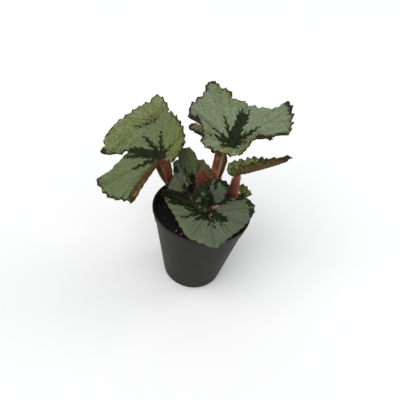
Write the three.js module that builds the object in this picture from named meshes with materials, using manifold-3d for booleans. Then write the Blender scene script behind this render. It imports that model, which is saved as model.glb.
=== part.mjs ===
// Potted rex begonia: a young plant with frilled, toothed leaves in a small plastic nursery pot.
// Millimetres, +Z up, origin at the centre of the pot's base, front of the plant towards -Y.

import * as THREE from "three";
import { mergeVertices } from "three/addons/utils/BufferGeometryUtils.js";
import Module from "manifold-3d";

const wasm = await Module();
wasm.setup();

// ---------------------------------------------------------------- driving dimensions

const GAP = 0.3; // clearance between neighbouring pieces

const POT = {
  height: 55,
  rimRadius: 30,
  footRadius: 19.3,
  wall: 1.2,
  collarHeight: 7,
  collarStep: 0.7,
  floor: 1.4,
  drainHoles: 5,
  drainHoleRadius: 2.6,
  drainCircleRadius: 12,
  segments: 36,
};

const SOIL = { level: 53, bump: 0.7, rings: 5, segments: 28 };

const BLADE_THICKNESS = 0.62;
const RIB_STEPS = 20; // steps of a rib's curve from the leaf's base to its margin
const RING_STEPS = [5, 10, 16, 18, 20]; // the steps that carry a ring of vertices
const CURL_FROM = 0.8; // fraction of a rib where its margin curl begins
const MARGIN_SUBSTEPS = 8;

const SINUS_CLEARANCE = 12; // most degrees beside a base lobe that its stalk keeps clear of

const STALK_SIDES = 8;
const STALK_STATIONS = 10;

// A leaf's blade is a fan of ribs from the point where its stalk joins, "at". "turn" is the heading,
// pitch and roll in degrees of the blade's own plane. Each margin row is one rib:
// [angle in the plane, length, rise at the base, bend over the whole rib, curl near the margin].
const LEAVES = {
  top: {
    at: [10.5, 8.5, 95.5],
    turn: [63, 26, 14],
    toothSpacing: 2.4,
    toothDepth: 1.2,
    margin: [
      [-141, 9.8, 3, 12, 45],
      [-124, 9.4, 0, 25, 60],
      [-100, 10, -5, 45, 70],
      [-78, 11, -6, 55, 60],
      [-62, 12, -6, 60, 50],
      [-48.5, 13, 4, 28, 22],
      [-43.8, 15.1, 9, 12, 10],
      [-42.4, 17.4, 11, 3, 0],
      [-43.3, 19.2, 13, -8, -10],
      [-44.1, 21.7, 14, -20, -30],
      [-45.5, 25.3, 15, -30, -60],
      [-44.5, 25.4, 14, -24, -40],
      [-43.6, 25.1, 12, -12, -10],
      [-42.5, 27.5, 9, -6, 0],
      [-42.1, 30.7, 7, -8, -5],
      [-42, 34.3, 5, -10, -10],
      [-31, 41, 5, -12, -10],
      [-17, 46, 5, -12, 20],
      [-13, 44, 7, -22, -60],
      [-6, 39, 8, -25, -90],
      [2, 36, 8, -25, -80],
      [13, 33, 8, -25, -20],
      [21, 31, 8, -18, 0],
      [28.5, 30, 7, -12, 0],
      [31.5, 31, 6, -8, 10],
      [33.5, 34, 4, -5, 40],
      [36, 35.5, 3, -4, 20],
      [39, 37.5, 2, 0, 0],
      [42.6, 39, 2, 0, -20],
      [43, 41, 3, -2, 0],
      [46, 41.5, 4, -2, 0],
      [48.9, 42.2, 4, -4, 5],
      [53.5, 40.2, 5, -2, 0],
      [57.1, 37.4, 5, 0, 5],
      [60, 34.8, 5, 1, 10],
      [64, 33.6, 5, 0, 5],
      [69, 35, 5, -5, -10],
      [79, 33, 5, -5, -10],
      [88, 30, -1, 0, 20],
      [94, 24, 12, 5, 50],
      [107, 18, 5, 5, 40],
      [124, 17, 5, -5, -20],
      [146, 12, 5, -5, -20],
      [168.5, 8.8, 5, -5, 0],
      [186, 8.4, 5, 0, 20],
      [201, 8.9, 5, 0, 30],
      [217.5, 9.7, 3, 12, 45],
    ],
    stalk: {
      radii: [2.1, 2.6, 2.9],
      through: [
        [6.5, 6.5, 52.5],
        [4.7, 7.8, 64],
        [3.9, 7.8, 72],
        [4.4, 8.2, 80],
        [4.6, 8.7, 86.5],
        [5.2, 8.8, 91],
      ],
    },
  },
  behind_top: {
    at: [6, 26, 84],
    turn: [180, -5, -25],
    toothSpacing: 2.2,
    toothDepth: 0.8,
    margin: [
      [-150, 9, 5, 0, 0],
      [-120, 14, 5, 0, -20],
      [-90, 15, 5, -10, 20],
      [-60, 17, 5, -10, -20],
      [-45, 22, 5, -10, -10],
      [-34, 25.5, 5, -10, 0],
      [-28, 25.8, 5, -10, 0],
      [-25.5, 24, 5, -10, 10],
      [-24, 21, 5, -10, -10],
      [-23, 17.5, 5, -10, 0],
      [-20, 13.5, 3, -10, 0],
      [0, 9, 0, -10, 0],
      [40, 8, 0, -10, 0],
      [90, 6, 5, -10, 0],
      [140, 6, 5, 0, 0],
    ],
    stalk: {
      radii: [1.5, 1.4, 1.1],
      through: [[11, 9, 53], [8.7, 12.5, 62], [7.2, 13.2, 68.5], [8.7, 15.5, 75.3], [9.5, 20.5, 79]],
    },
  },
  left_front: {
    at: [-27, 2, 84],
    turn: [170, 0, -30],
    toothSpacing: 2.4,
    toothDepth: 1.1,
    margin: [
      [-211, 6, 5, 0, 20],
      [-172, 9, 5, 0, 10],
      [-140, 13, 5, -5, 10],
      [-116, 19, 5, -5, -10],
      [-101, 23, 5, -5, 10],
      [-86, 29, 5, -10, -10],
      [-76, 34, 8, -20, -40],
      [-66, 33, 8, -35, -90],
      [-48, 25, 8, -35, -90],
      [-24, 23, 8, -40, -90],
      [-1, 25, 8, -40, -90],
      [16, 28, 8, -40, -90],
      [29, 34, 6, -35, -60],
      [37, 38, 5, -20, 20],
      [47, 38, 5, -20, -10],
      [59, 36, 5, -20, 10],
      [66, 33, 5, -20, -10],
      [72.5, 31.5, 5, -15, 0],
      [77, 30.7, 1, -11, 0],
      [78.6, 29.3, 1, -11, 0],
      [78.9, 29.2, 8, -16, 0],
      [76.9, 29.2, 13, -21, 0],
      [73.4, 29, 16, -24, 0],
    ],
    stalk: {
      radii: [2.1, 2.4, 2.9],
      through: [[-15.5, 8, 53], [-19, 8, 58.5], [-21.4, 7, 64.5], [-22.6, 5.2, 70.5], [-23.7, 3.2, 77]],
    },
  },
  left_back: {
    at: [-37, 35, 88],
    turn: [210, -26, -25],
    toothSpacing: 2.5,
    toothDepth: 1,
    margin: [
      [-175, 9, 5, 0, 0],
      [-158, 12, 5, -5, 10],
      [-136, 16, 5, -5, 0],
      [-120, 19, 5, -5, -10],
      [-109, 17.5, 5, -5, -10],
      [-99, 14.8, 5, -5, 10],
      [-83, 16, 5, -8, -10],
      [-53, 18, 5, -8, 10],
      [-36, 24, 5, -10, -10],
      [-22, 30, 5, -15, 10],
      [-15, 36, 5, -20, -10],
      [-5, 37, 5, -20, 0],
      [-1, 40, 5, -20, 30],
      [3, 37, 5, -28, -20],
      [7, 33, 5, -30, 10],
      [12, 31, 5, -30, -10],
      [16, 26, 5, -30, 0],
      [60, 14, 5, -30, 0],
      [90, 11, 5, -20, 0],
      [130, 9, 5, -10, 0],
      [155, 8, 5, -10, 0],
    ],
    stalk: {
      radii: [1.9, 1.6],
      through: [
        [-19.5, 15, 53],
        [-23.3, 14, 57.5],
        [-27.2, 14, 62.5],
        [-31.2, 16.5, 68],
        [-35, 23.5, 74],
        [-36.5, 30.5, 79],
      ],
    },
  },
  front: {
    at: [4, -11, 61.5],
    turn: [-85, -4, 0],
    toothSpacing: 2.6,
    toothDepth: 0.7,
    margin: [
      [-172, 5, 5, 0, 0],
      [-149, 6, 4, 0, 0],
      [-134, 14, 2, 0, 0],
      [-126, 21, 0, 0, 0],
      [-121, 28, 0, 0, 0],
      [-117, 32, 0, -8, 0],
      [-104, 26, 0, -10, 0],
      [-80, 20, 0, -10, -10],
      [-51, 20, 0, -10, 0],
      [-29, 22, 0, -12, -10],
      [-10, 22, 0, -16, 0],
      [10, 24, 0, -18, 0],
      [22, 22, 0, -18, 0],
      [40, 20, 0, -15, 0],
      [65, 21, 0, -12, 0],
      [90, 25, 0, -10, 0],
      [104, 29, 0, -10, 0],
      [116, 31, 0, -10, 0],
      [124, 29, 0, -8, 10],
      [130, 25, 0, -5, 0],
      [135, 19, 0, 0, 15],
      [141, 13, 0, 0, 20],
      [148, 7, 0, 0, 0],
      [163, 4, 5, 0, 0],
    ],
    stalk: { radii: [1.8, 1.6], through: [[2.8, 1, 53], [3, -4, 56.5]] },
  },
  right_folded: {
    at: [17, 9, 76.2],
    turn: [22, 16, -25],
    toothSpacing: 2.2,
    toothDepth: 0.9,
    margin: [
      [-170, 3.5, 6, 0, 0],
      [-160, 5.5, 22, 0, 0],
      [-149, 6.2, 48, 0, 0],
      [-120, 5, 66, 0, 0],
      [-90, 5.5, 60, 0, 0],
      [-50, 6.2, 57, 0, 0],
      [-15, 7.7, 36, 0, 0],
      [-8, 11.2, 23, 0, 0],
      [-5, 15, 16, 0, 0],
      [-3, 20.8, 10, 0, 0],
      [-1.5, 29.3, 4.4, 0, 0],
      [-0.6, 35.2, 1.5, 0, 0],
      [0.3, 31.8, -1, 0, 0],
      [1.5, 28.5, 3, 0, 0],
      [4, 20, 9, 0, 0],
      [9, 14, 29, 0, 0],
      [18, 10.4, 43, 0, 0],
      [40, 8.8, 59, 0, 0],
      [90, 9, 52, 0, 0],
      [138, 7.6, 50, 0, 0],
      [154, 6.5, 34, 0, 0],
      [166, 5, 15, 0, 0],
    ],
    stalk: { radii: [3.3, 2.6], through: [[19, 9.5, 52.5], [18, 9.7, 60], [17.4, 9.5, 67]] },
  },
  back_middle: {
    at: [-6, 9, 64],
    turn: [105, 50, 0],
    toothSpacing: 2.2,
    toothDepth: 0.5,
    margin: [
      [-87, 4, 5, 0, 0],
      [-73, 9, 5, 0, 0],
      [-54, 13, 5, 0, 0],
      [-30, 14, 5, 0, 0],
      [-16, 16, 5, -10, 0],
      [-4, 15, 8, -10, 0],
      [1, 18, 15, -20, 0],
      [9, 22, 15, -20, 0],
      [18, 23, 12, -10, 0],
      [27, 22, 10, -10, 0],
      [39, 18, 10, 0, 0],
      [48, 14, 10, 10, 0],
      [57, 9, 5, 10, 0],
      [88, 4, 5, 0, 0],
    ],
    stalk: { radii: [1.5, 1.3], through: [[-4.2, 6.5, 53], [-5.2, 8, 58.5]] },
  },
  back_left: {
    at: [-12, 1, 65.2],
    turn: [110, 52, 0],
    toothSpacing: 2,
    toothDepth: 0.6,
    margin: [
      [-64, 2.3, 5, 0, 0],
      [-16, 6, 5, 0, 0],
      [-1, 9.6, 5, 0, 0],
      [5.5, 13.2, 5, 0, 0],
      [9, 16.6, 5, 0, 0],
      [15, 17.6, 5, 0, 0],
      [20.8, 17.2, 5, 0, 0],
      [25.5, 14.8, 5, 0, 0],
      [33.2, 11.9, 5, 0, 0],
      [50, 10, 5, 0, 0],
      [76, 10.2, 5, 0, 0],
      [88.6, 10.6, 5, 0, 0],
      [102, 6, 5, 0, 0],
      [148, 1.8, 5, 0, 0],
    ],
    stalk: { radii: [1.4, 1.2], through: [[-8.3, 5, 53], [-10.5, 4, 59]] },
  },
  centre_right: {
    at: [5, -2, 61],
    turn: [60, 68, 0],
    toothSpacing: 2,
    toothDepth: 0.8,
    margin: [
      [-70, 4.5, 12, 0, 0],
      [-50, 9, 5, 0, 0],
      [-37, 12, 5, 0, 0],
      [-26, 16, 5, 0, 0],
      [-11, 16, 5, -10, 0],
      [5, 15, 5, -10, 0],
      [22, 14, 5, -10, 0],
      [35, 12, 5, 0, 0],
      [50, 8, 5, 0, 0],
      [74, 5, 5, 0, 0],
    ],
    stalk: { radii: [1.4, 1.2], through: [[6, 1, 53], [5.5, -0.5, 57]] },
  },
  centre_left: {
    at: [1.5, -4, 65],
    turn: [160, 5, -42],
    toothSpacing: 1.9,
    toothDepth: 0.6,
    margin: [
      [-72, 6.5, 5, 0, 0],
      [-50, 9, 5, 0, 0],
      [-23, 9, 5, 0, 0],
      [6, 8, 10, 0, 0],
      [43, 9, 25, 0, 0],
      [78, 11, 38, 0, 0],
      [102, 12, 42, -5, 0],
      [122, 12.5, 42, -5, 0],
      [139, 9, 35, 0, 0],
    ],
    stalk: { radii: [1.3, 1.1], through: [[-1, 1, 53], [-0.5, -1.5, 58]] },
  },
  right_small: {
    at: [22.8, 9.5, 60],
    turn: [40, 20, 0],
    toothSpacing: 1.9,
    toothDepth: 0.9,
    margin: [
      [-80, 3, 5, 0, 0],
      [-47, 4, 5, 0, 0],
      [-24, 7, 5, 0, 0],
      [7, 7, 5, 0, 0],
      [33, 9, 5, 0, 0],
      [48, 10, 5, 0, 0],
      [68, 7, 5, 0, 0],
    ],
    stalk: { radii: [1, 0.9], through: [[14, 4.5, 52.5], [20, 3.2, 56], [23.6, 5.8, 58.5]] },
  },
};

const RHIZOME = {
  radii: [3.4, 4.6, 5, 4.8, 4.4],
  through: [[-18.5, 11.5, 51.3], [-7.5, 6.5, 52.5], [2, 3.5, 53], [10, 6, 53], [18.5, 8.5, 52]],
};

const COLOURS = {
  pot: 0x4b4b4c,
  soil: 0x2a2019,
  rhizome: 0x7a4a3c,
  blade: 0x8fa58b,
  stalk: 0xa0604a,
  bud: 0xa8564a,
};

// ---------------------------------------------------------------- solids and booleans

function closedGeometry(points, triangles) {
  const geometry = new THREE.BufferGeometry();
  geometry.setAttribute("position", new THREE.Float32BufferAttribute(points.flatMap((p) => [p.x, p.y, p.z]), 3));
  geometry.setIndex(triangles.flat());
  return geometry;
}

function toSolid(geometry) {
  const bare = geometry.clone();
  bare.deleteAttribute("normal");
  bare.deleteAttribute("uv");
  const merged = mergeVertices(bare, 1e-4);
  return new wasm.Manifold(
    new wasm.Mesh({
      numProp: 3,
      vertProperties: new Float32Array(merged.attributes.position.array),
      triVerts: new Uint32Array(merged.index.array),
    }),
  );
}

function fromSolid(solid) {
  const mesh = solid.getMesh();
  const geometry = new THREE.BufferGeometry();
  geometry.setAttribute("position", new THREE.BufferAttribute(new Float32Array(mesh.vertProperties), 3));
  geometry.setIndex(new THREE.BufferAttribute(new Uint32Array(mesh.triVerts), 1));
  return geometry;
}

function largestPiece(solid) {
  const pieces = solid.decompose();
  return pieces.reduce((best, piece) => (piece.volume() > best.volume() ? piece : best));
}

function cutBy(solid, cutters) {
  return cutters.reduce((left, cutter) => left.subtract(cutter), solid);
}

// A repeatable draw in 0..1 from a whole number.
function draw(n) {
  const value = Math.sin(n * 127.1 + 11.7) * 43758.5453;
  return value - Math.floor(value);
}

// ---------------------------------------------------------------- leaf blades

function leafAxes(leaf) {
  const [heading, pitch, roll] = leaf.turn.map(THREE.MathUtils.degToRad);
  const along = new THREE.Vector3(
    Math.cos(heading) * Math.cos(pitch),
    Math.sin(heading) * Math.cos(pitch),
    Math.sin(pitch),
  );
  const level = new THREE.Vector3(-Math.sin(heading), Math.cos(heading), 0);
  const upright = along.clone().cross(level);
  const across = level.clone().multiplyScalar(Math.cos(roll)).addScaledVector(upright, Math.sin(roll));
  const normal = upright.clone().multiplyScalar(Math.cos(roll)).addScaledVector(level, -Math.sin(roll));
  return { along, across, normal };
}

// Margin row at a place t between the rows, 0 to rows - 1, on a smooth curve through them.
function marginRow(rows, t) {
  const last = rows.length - 1;
  const i = Math.min(Math.floor(t), last - 1);
  const u = t - i;
  return rows[i].map((p1, column) => {
    const p2 = rows[i + 1][column];
    const p0 = i > 0 ? rows[i - 1][column] : 2 * p1 - p2;
    const p3 = i < last - 1 ? rows[i + 2][column] : 2 * p2 - p1;
    const linear = p2 - p0;
    const square = 2 * p0 - 5 * p1 + 4 * p2 - p3;
    const cube = 3 * p1 - p0 - 3 * p2 + p3;
    return p1 + 0.5 * u * (linear + u * (square + u * cube));
  });
}

// Points along one rib, one for each step from 0 to RIB_STEPS.
function ribPoints(leaf, axes, [angle, length, rise, bend, curl]) {
  const a = THREE.MathUtils.degToRad(angle);
  const outward = axes.along.clone().multiplyScalar(Math.cos(a)).addScaledVector(axes.across, Math.sin(a));
  const step = length / RIB_STEPS;
  const point = new THREE.Vector3(...leaf.at);
  const points = [point.clone()];
  for (let k = 0; k < RIB_STEPS; k += 1) {
    const s = (k + 0.5) / RIB_STEPS;
    const curled = Math.max(0, (s - CURL_FROM) / (1 - CURL_FROM));
    const slope = THREE.MathUtils.degToRad(rise + bend * s + curl * curled);
    point.addScaledVector(outward, step * Math.cos(slope)).addScaledVector(axes.normal, step * Math.sin(slope));
    points.push(point.clone());
  }
  return points;
}

// Places along the margin that are evenly spaced in true length.
function evenMarginPlaces(leaf, axes) {
  const rows = leaf.margin;
  const places = [];
  const lengths = [0];
  let previous = null;
  for (let k = 0; k <= (rows.length - 1) * MARGIN_SUBSTEPS; k += 1) {
    const t = k / MARGIN_SUBSTEPS;
    const tip = ribPoints(leaf, axes, marginRow(rows, t))[RIB_STEPS];
    if (previous) lengths.push(lengths[lengths.length - 1] + tip.distanceTo(previous));
    places.push(t);
    previous = tip;
  }
  const total = lengths[lengths.length - 1];
  const count = 2 * Math.round(total / leaf.toothSpacing / 2);
  const even = [];
  let k = 0;
  for (let n = 0; n <= count; n += 1) {
    const wanted = (total * n) / count;
    while (k < lengths.length - 2 && lengths[k + 1] < wanted) k += 1;
    const share = (wanted - lengths[k]) / (lengths[k + 1] - lengths[k]);
    even.push(places[k] + (places[k + 1] - places[k]) * Math.min(1, share));
  }
  return even;
}

// Grid of surface points: grid[n][0] is the stalk's end, grid[n][1..] the rings out to the toothed margin.
function bladeGrid(leaf) {
  const axes = leafAxes(leaf);
  return evenMarginPlaces(leaf, axes).map((t, n) => {
    const row = marginRow(leaf.margin, t);
    const tooth = leaf.toothDepth * (0.5 + draw(n)) * (n % 2 ? 0.5 : -0.5);
    row[1] += Math.max(-0.2 * row[1], tooth);
    const points = ribPoints(leaf, axes, row);
    return [0, ...RING_STEPS].map((step) => points[step]);
  });
}

// The same leaf with a narrower gap between its two base lobes, for cutting its stalk clear of them.
function widened(leaf) {
  const first = leaf.margin[0];
  const last = leaf.margin[leaf.margin.length - 1];
  const sinus = 360 - (last[0] - first[0]);
  const clearance = Math.min(SINUS_CLEARANCE, 0.4 * sinus);
  const before = [first[0] - clearance, ...first.slice(1)];
  const after = [last[0] + clearance, ...last.slice(1)];
  return { ...leaf, margin: [before, ...leaf.margin, after] };
}

function gridNormals(grid) {
  const last = grid.length - 1;
  const outer = grid[0].length - 1;
  const normals = grid.map((rib, n) =>
    rib.map((point, ring) => {
      const inward = rib[Math.max(ring - 1, 0)];
      const outward = rib[Math.min(ring + 1, outer)];
      const before = grid[Math.max(n - 1, 0)][Math.max(ring, 1)];
      const after = grid[Math.min(n + 1, last)][Math.max(ring, 1)];
      return outward.clone().sub(inward).cross(after.clone().sub(before)).normalize();
    }),
  );
  const base = new THREE.Vector3();
  normals.forEach((rib) => base.add(rib[0]));
  base.normalize();
  normals.forEach((rib) => rib[0].copy(base));
  return normals;
}

// Closed thin shell on the grid: its top face is lifted and its bottom face dropped along the normals.
function bladeGeometry(leaf, lift, drop) {
  const grid = bladeGrid(leaf);
  const normals = gridNormals(grid);
  const ribs = grid.length;
  const rings = RING_STEPS.length;
  const points = [];
  const triangles = [];
  const faceSize = 1 + ribs * rings;
  [lift, -drop].forEach((offset) => {
    points.push(grid[0][0].clone().addScaledVector(normals[0][0], offset));
    grid.forEach((rib, n) => {
      for (let ring = 1; ring <= rings; ring += 1) {
        points.push(rib[ring].clone().addScaledVector(normals[n][ring], offset));
      }
    });
  });
  const top = (n, ring) => (ring === 0 ? 0 : 1 + n * rings + ring - 1);
  const bottom = (n, ring) => faceSize + top(n, ring);
  const bothFaces = (a, b, c) => {
    triangles.push([a, b, c]);
    triangles.push([faceSize + a, faceSize + c, faceSize + b]);
  };
  for (let n = 0; n < ribs - 1; n += 1) {
    bothFaces(0, top(n, 1), top(n + 1, 1));
    for (let ring = 1; ring < rings; ring += 1) {
      bothFaces(top(n, ring), top(n, ring + 1), top(n + 1, ring + 1));
      bothFaces(top(n, ring), top(n + 1, ring + 1), top(n + 1, ring));
    }
    triangles.push([top(n, rings), bottom(n, rings), bottom(n + 1, rings)]);
    triangles.push([top(n, rings), bottom(n + 1, rings), top(n + 1, rings)]);
  }
  const end = ribs - 1;
  for (let ring = 0; ring < rings; ring += 1) {
    triangles.push([bottom(0, ring), bottom(0, ring + 1), top(0, ring + 1)]);
    triangles.push([bottom(0, ring), top(0, ring + 1), top(0, ring)]);
    triangles.push([bottom(end, ring), top(end, ring), top(end, ring + 1)]);
    triangles.push([bottom(end, ring), top(end, ring + 1), bottom(end, ring + 1)]);
  }
  return closedGeometry(points, triangles);
}

// ---------------------------------------------------------------- stalks and rhizome

// Closed round tube through the points, its radius running smoothly through the given radii.
function taperedTube(through, radii, sides, stations) {
  const curve = new THREE.CatmullRomCurve3(through.map((p) => new THREE.Vector3(...p)), false, "centripetal");
  const frames = curve.computeFrenetFrames(stations, false);
  const points = [];
  const triangles = [];
  for (let k = 0; k <= stations; k += 1) {
    const share = k / stations;
    const centre = curve.getPointAt(share);
    const place = share * (radii.length - 1);
    const index = Math.min(Math.floor(place), radii.length - 2);
    const radius = THREE.MathUtils.lerp(radii[index], radii[index + 1], place - index);
    for (let side = 0; side < sides; side += 1) {
      const angle = (side / sides) * Math.PI * 2;
      points.push(
        centre
          .clone()
          .addScaledVector(frames.normals[k], radius * Math.cos(angle))
          .addScaledVector(frames.binormals[k], radius * Math.sin(angle)),
      );
    }
  }
  const first = points.push(curve.getPointAt(0)) - 1;
  const last = points.push(curve.getPointAt(1)) - 1;
  for (let side = 0; side < sides; side += 1) {
    const next = (side + 1) % sides;
    for (let k = 0; k < stations; k += 1) {
      const a = k * sides + side;
      const b = k * sides + next;
      triangles.push([a, b, b + sides], [a, b + sides, a + sides]);
    }
    triangles.push([first, next, side]);
    triangles.push([last, stations * sides + side, stations * sides + next]);
  }
  return closedGeometry(points, triangles);
}

function stalkSolid(leaf, extra = 0) {
  const foot = new THREE.Vector3(...leaf.stalk.through[0]);
  foot.z -= extra;
  const through = [foot.toArray(), ...leaf.stalk.through.slice(1), leaf.at];
  return toSolid(taperedTube(through, leaf.stalk.radii.map((r) => r + extra), STALK_SIDES, STALK_STATIONS));
}

function rhizomeSolid(extra = 0) {
  return toSolid(taperedTube(RHIZOME.through, RHIZOME.radii.map((r) => r + extra), 9, 9));
}

// ---------------------------------------------------------------- pot and soil

function wallRadius(z) {
  return THREE.MathUtils.lerp(POT.footRadius, POT.rimRadius - POT.collarStep, z / POT.height);
}

function potSolid() {
  const collarFoot = POT.height - POT.collarHeight;
  const profile = [
    [0, 0],
    [POT.footRadius - 0.7, 0],
    [POT.footRadius, 0.7],
    [wallRadius(collarFoot), collarFoot],
    [wallRadius(collarFoot) + POT.collarStep, collarFoot + 0.5],
    [POT.rimRadius, POT.height - 0.3],
    [POT.rimRadius - 0.3, POT.height],
    [POT.rimRadius - POT.wall + 0.2, POT.height],
    [POT.rimRadius - POT.wall, POT.height - 0.4],
    [wallRadius(collarFoot - 2) - POT.wall, collarFoot - 2],
    [wallRadius(POT.floor) - POT.wall, POT.floor],
    [0, POT.floor],
  ];
  const lathe = new THREE.LatheGeometry(profile.map(([r, z]) => new THREE.Vector2(r, z)), POT.segments);
  lathe.rotateX(Math.PI / 2);
  const holes = [];
  for (let n = 0; n < POT.drainHoles; n += 1) {
    const angle = ((n + 0.5) / POT.drainHoles) * Math.PI * 2;
    const hole = new THREE.CylinderGeometry(POT.drainHoleRadius, POT.drainHoleRadius, 8, 16);
    hole.rotateX(Math.PI / 2);
    hole.translate(POT.drainCircleRadius * Math.cos(angle), POT.drainCircleRadius * Math.sin(angle), 0);
    holes.push(toSolid(hole));
  }
  return cutBy(toSolid(lathe), holes);
}

function soilHeight(x, y) {
  const coarse = Math.sin(x * 0.31 + 1.3) * Math.cos(y * 0.27 - 0.6);
  const fine = Math.sin(x * 1.13 + y * 0.71) * Math.sin(y * 1.37 - x * 0.52 + 2);
  return SOIL.level + SOIL.bump * (0.6 * coarse + 0.5 * fine);
}

function soilSolid() {
  const floor = POT.floor + GAP;
  const collarFoot = POT.height - POT.collarHeight;
  const inside = (z) => {
    const collar = THREE.MathUtils.smoothstep(z, collarFoot - 2, POT.height) * POT.collarStep;
    return wallRadius(z) + collar - POT.wall - GAP * 1.6;
  };
  const points = [new THREE.Vector3(0, 0, soilHeight(0, 0))];
  const triangles = [];
  const { rings, segments } = SOIL;
  const rim = inside(SOIL.level - SOIL.bump);
  for (let ring = 1; ring <= rings; ring += 1) {
    for (let k = 0; k < segments; k += 1) {
      const angle = (k / segments) * Math.PI * 2;
      const x = rim * (ring / rings) * Math.cos(angle);
      const y = rim * (ring / rings) * Math.sin(angle);
      points.push(new THREE.Vector3(x, y, soilHeight(x, y)));
    }
  }
  [collarFoot - 2, floor].forEach((z) => {
    for (let k = 0; k < segments; k += 1) {
      const angle = (k / segments) * Math.PI * 2;
      points.push(new THREE.Vector3(inside(z) * Math.cos(angle), inside(z) * Math.sin(angle), z));
    }
  });
  const base = points.push(new THREE.Vector3(0, 0, floor)) - 1;
  const at = (ring, k) => (ring === 0 ? 0 : 1 + (ring - 1) * segments + (k % segments));
  for (let k = 0; k < segments; k += 1) {
    triangles.push([0, at(1, k), at(1, k + 1)]);
    for (let ring = 1; ring < rings + 2; ring += 1) {
      triangles.push([at(ring, k), at(ring + 1, k), at(ring + 1, k + 1)]);
      triangles.push([at(ring, k), at(ring + 1, k + 1), at(ring, k + 1)]);
    }
    triangles.push([base, at(rings + 2, k + 1), at(rings + 2, k)]);
  }
  return toSolid(closedGeometry(points, triangles));
}

// ---------------------------------------------------------------- assembly

const plant = new THREE.Group();

function addPart(name, geometry, colour, roughness = 0.7) {
  const material = new THREE.MeshStandardMaterial({ color: colour, roughness, metalness: 0 });
  const mesh = new THREE.Mesh(geometry, material);
  mesh.name = name;
  plant.add(mesh);
}

// Folded young leaf beside the growing tip.
const BUD = {
  radii: [1.4, 1.4, 1.5, 2.1, 3, 3.4, 2.9, 0.8],
  through: [[-0.6, 7, 53], [-1, 6.8, 58.5], [-1.8, 7, 64.6], [-2.6, 7.5, 70.6], [-3.2, 8, 75.6]],
};

function budSolid(extra = 0) {
  const [foot, ...rest] = BUD.through;
  const through = [[foot[0], foot[1], foot[2] - extra], ...rest];
  return toSolid(taperedTube(through, BUD.radii.map((r) => r + extra), 10, 12));
}

const names = Object.keys(LEAVES);
const stalkHoles = names.map((name) => stalkSolid(LEAVES[name], GAP));
const budHole = budSolid(GAP);

addPart("pot", fromSolid(potSolid()), COLOURS.pot, 0.55);
addPart("soil", fromSolid(cutBy(soilSolid(), [rhizomeSolid(GAP), ...stalkHoles, budHole])), COLOURS.soil, 0.95);
addPart("rhizome", fromSolid(cutBy(rhizomeSolid(), [...stalkHoles, budHole])), COLOURS.rhizome);
addPart("leaf_bud", fromSolid(budSolid()), COLOURS.bud);

names.forEach((name) => {
  const leaf = LEAVES[name];
  const slot = toSolid(bladeGeometry(widened(leaf), GAP, BLADE_THICKNESS + GAP));
  addPart(`blade_${name}`, bladeGeometry(leaf, 0, BLADE_THICKNESS), COLOURS.blade);
  addPart(`stalk_${name}`, fromSolid(largestPiece(stalkSolid(leaf).subtract(slot))), COLOURS.stalk);
});

export default plant;
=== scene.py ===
"""Potted rex begonia: silver and green frilled leaves on bristly stalks in a small nursery pot.

Lengths are in millimetres up to the mesh builders, which write metres.
"""

import math

import bpy
import numpy as np
from mathutils import Matrix, Vector, kdtree, noise


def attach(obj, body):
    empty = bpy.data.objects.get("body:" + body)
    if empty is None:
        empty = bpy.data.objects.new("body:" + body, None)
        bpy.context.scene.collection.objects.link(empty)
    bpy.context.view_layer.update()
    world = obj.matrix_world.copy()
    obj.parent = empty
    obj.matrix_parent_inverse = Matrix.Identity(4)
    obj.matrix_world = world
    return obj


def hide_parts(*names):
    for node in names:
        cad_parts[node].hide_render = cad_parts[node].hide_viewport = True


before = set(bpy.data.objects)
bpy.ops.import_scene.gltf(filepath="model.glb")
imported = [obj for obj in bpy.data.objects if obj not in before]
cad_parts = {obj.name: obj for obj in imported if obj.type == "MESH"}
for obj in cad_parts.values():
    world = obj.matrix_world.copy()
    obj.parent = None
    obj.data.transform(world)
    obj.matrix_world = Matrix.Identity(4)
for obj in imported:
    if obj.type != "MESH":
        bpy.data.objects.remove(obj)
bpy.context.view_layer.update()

MM = 0.001
rng = np.random.default_rng(1633)

# ---------------------------------------------------------------- driving dimensions

POT_HEIGHT = 55.0
RIM_RADIUS = 30.0
FOOT_RADIUS = 19.3
WALL = 1.2
COLLAR_HEIGHT = 7.0
COLLAR_STEP = 0.7
POT_FLOOR = 1.4
DRAIN_HOLES = 5
DRAIN_HOLE_RADIUS = 2.6
DRAIN_CIRCLE_RADIUS = 12.0

SOIL_LEVEL = 53.0
SOIL_BUMP = 0.7

BLADE_THICKNESS = 0.42
EDGE_THICKNESS = 0.16
CURL_FROM = 0.8  # fraction of a rib where its margin curl begins
PILLOW = 0.7  # how far the blade bulges between its main veins
BLISTER = 0.28  # and between its side veins
SINK = 0.3  # a stalk's end lies this far under its blade's face
RIB_SPACING = 0.42  # along the margin
RING_SPACING = 0.75  # along a rib
LONG_WAVE = 6.5  # length of the margin's long ruffles
SHORT_WAVE = 3.1  # and of its short ones

HAIR_DROOP = 0.25  # how far a bristle bends aside, as a share of its length
BLADE_HAIR = 0.05  # radii of the bristles' roots
STALK_HAIR = 0.06
BUD_HAIR = 0.1
BUD_HAIRS = 900
HIGHLIGHT_SIDE = (0.93, -0.3, 0.2)  # painted highlight: each stalk is paler up this side, where the light falls

CRUMBS = 900
FIBRES = 70

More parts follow.
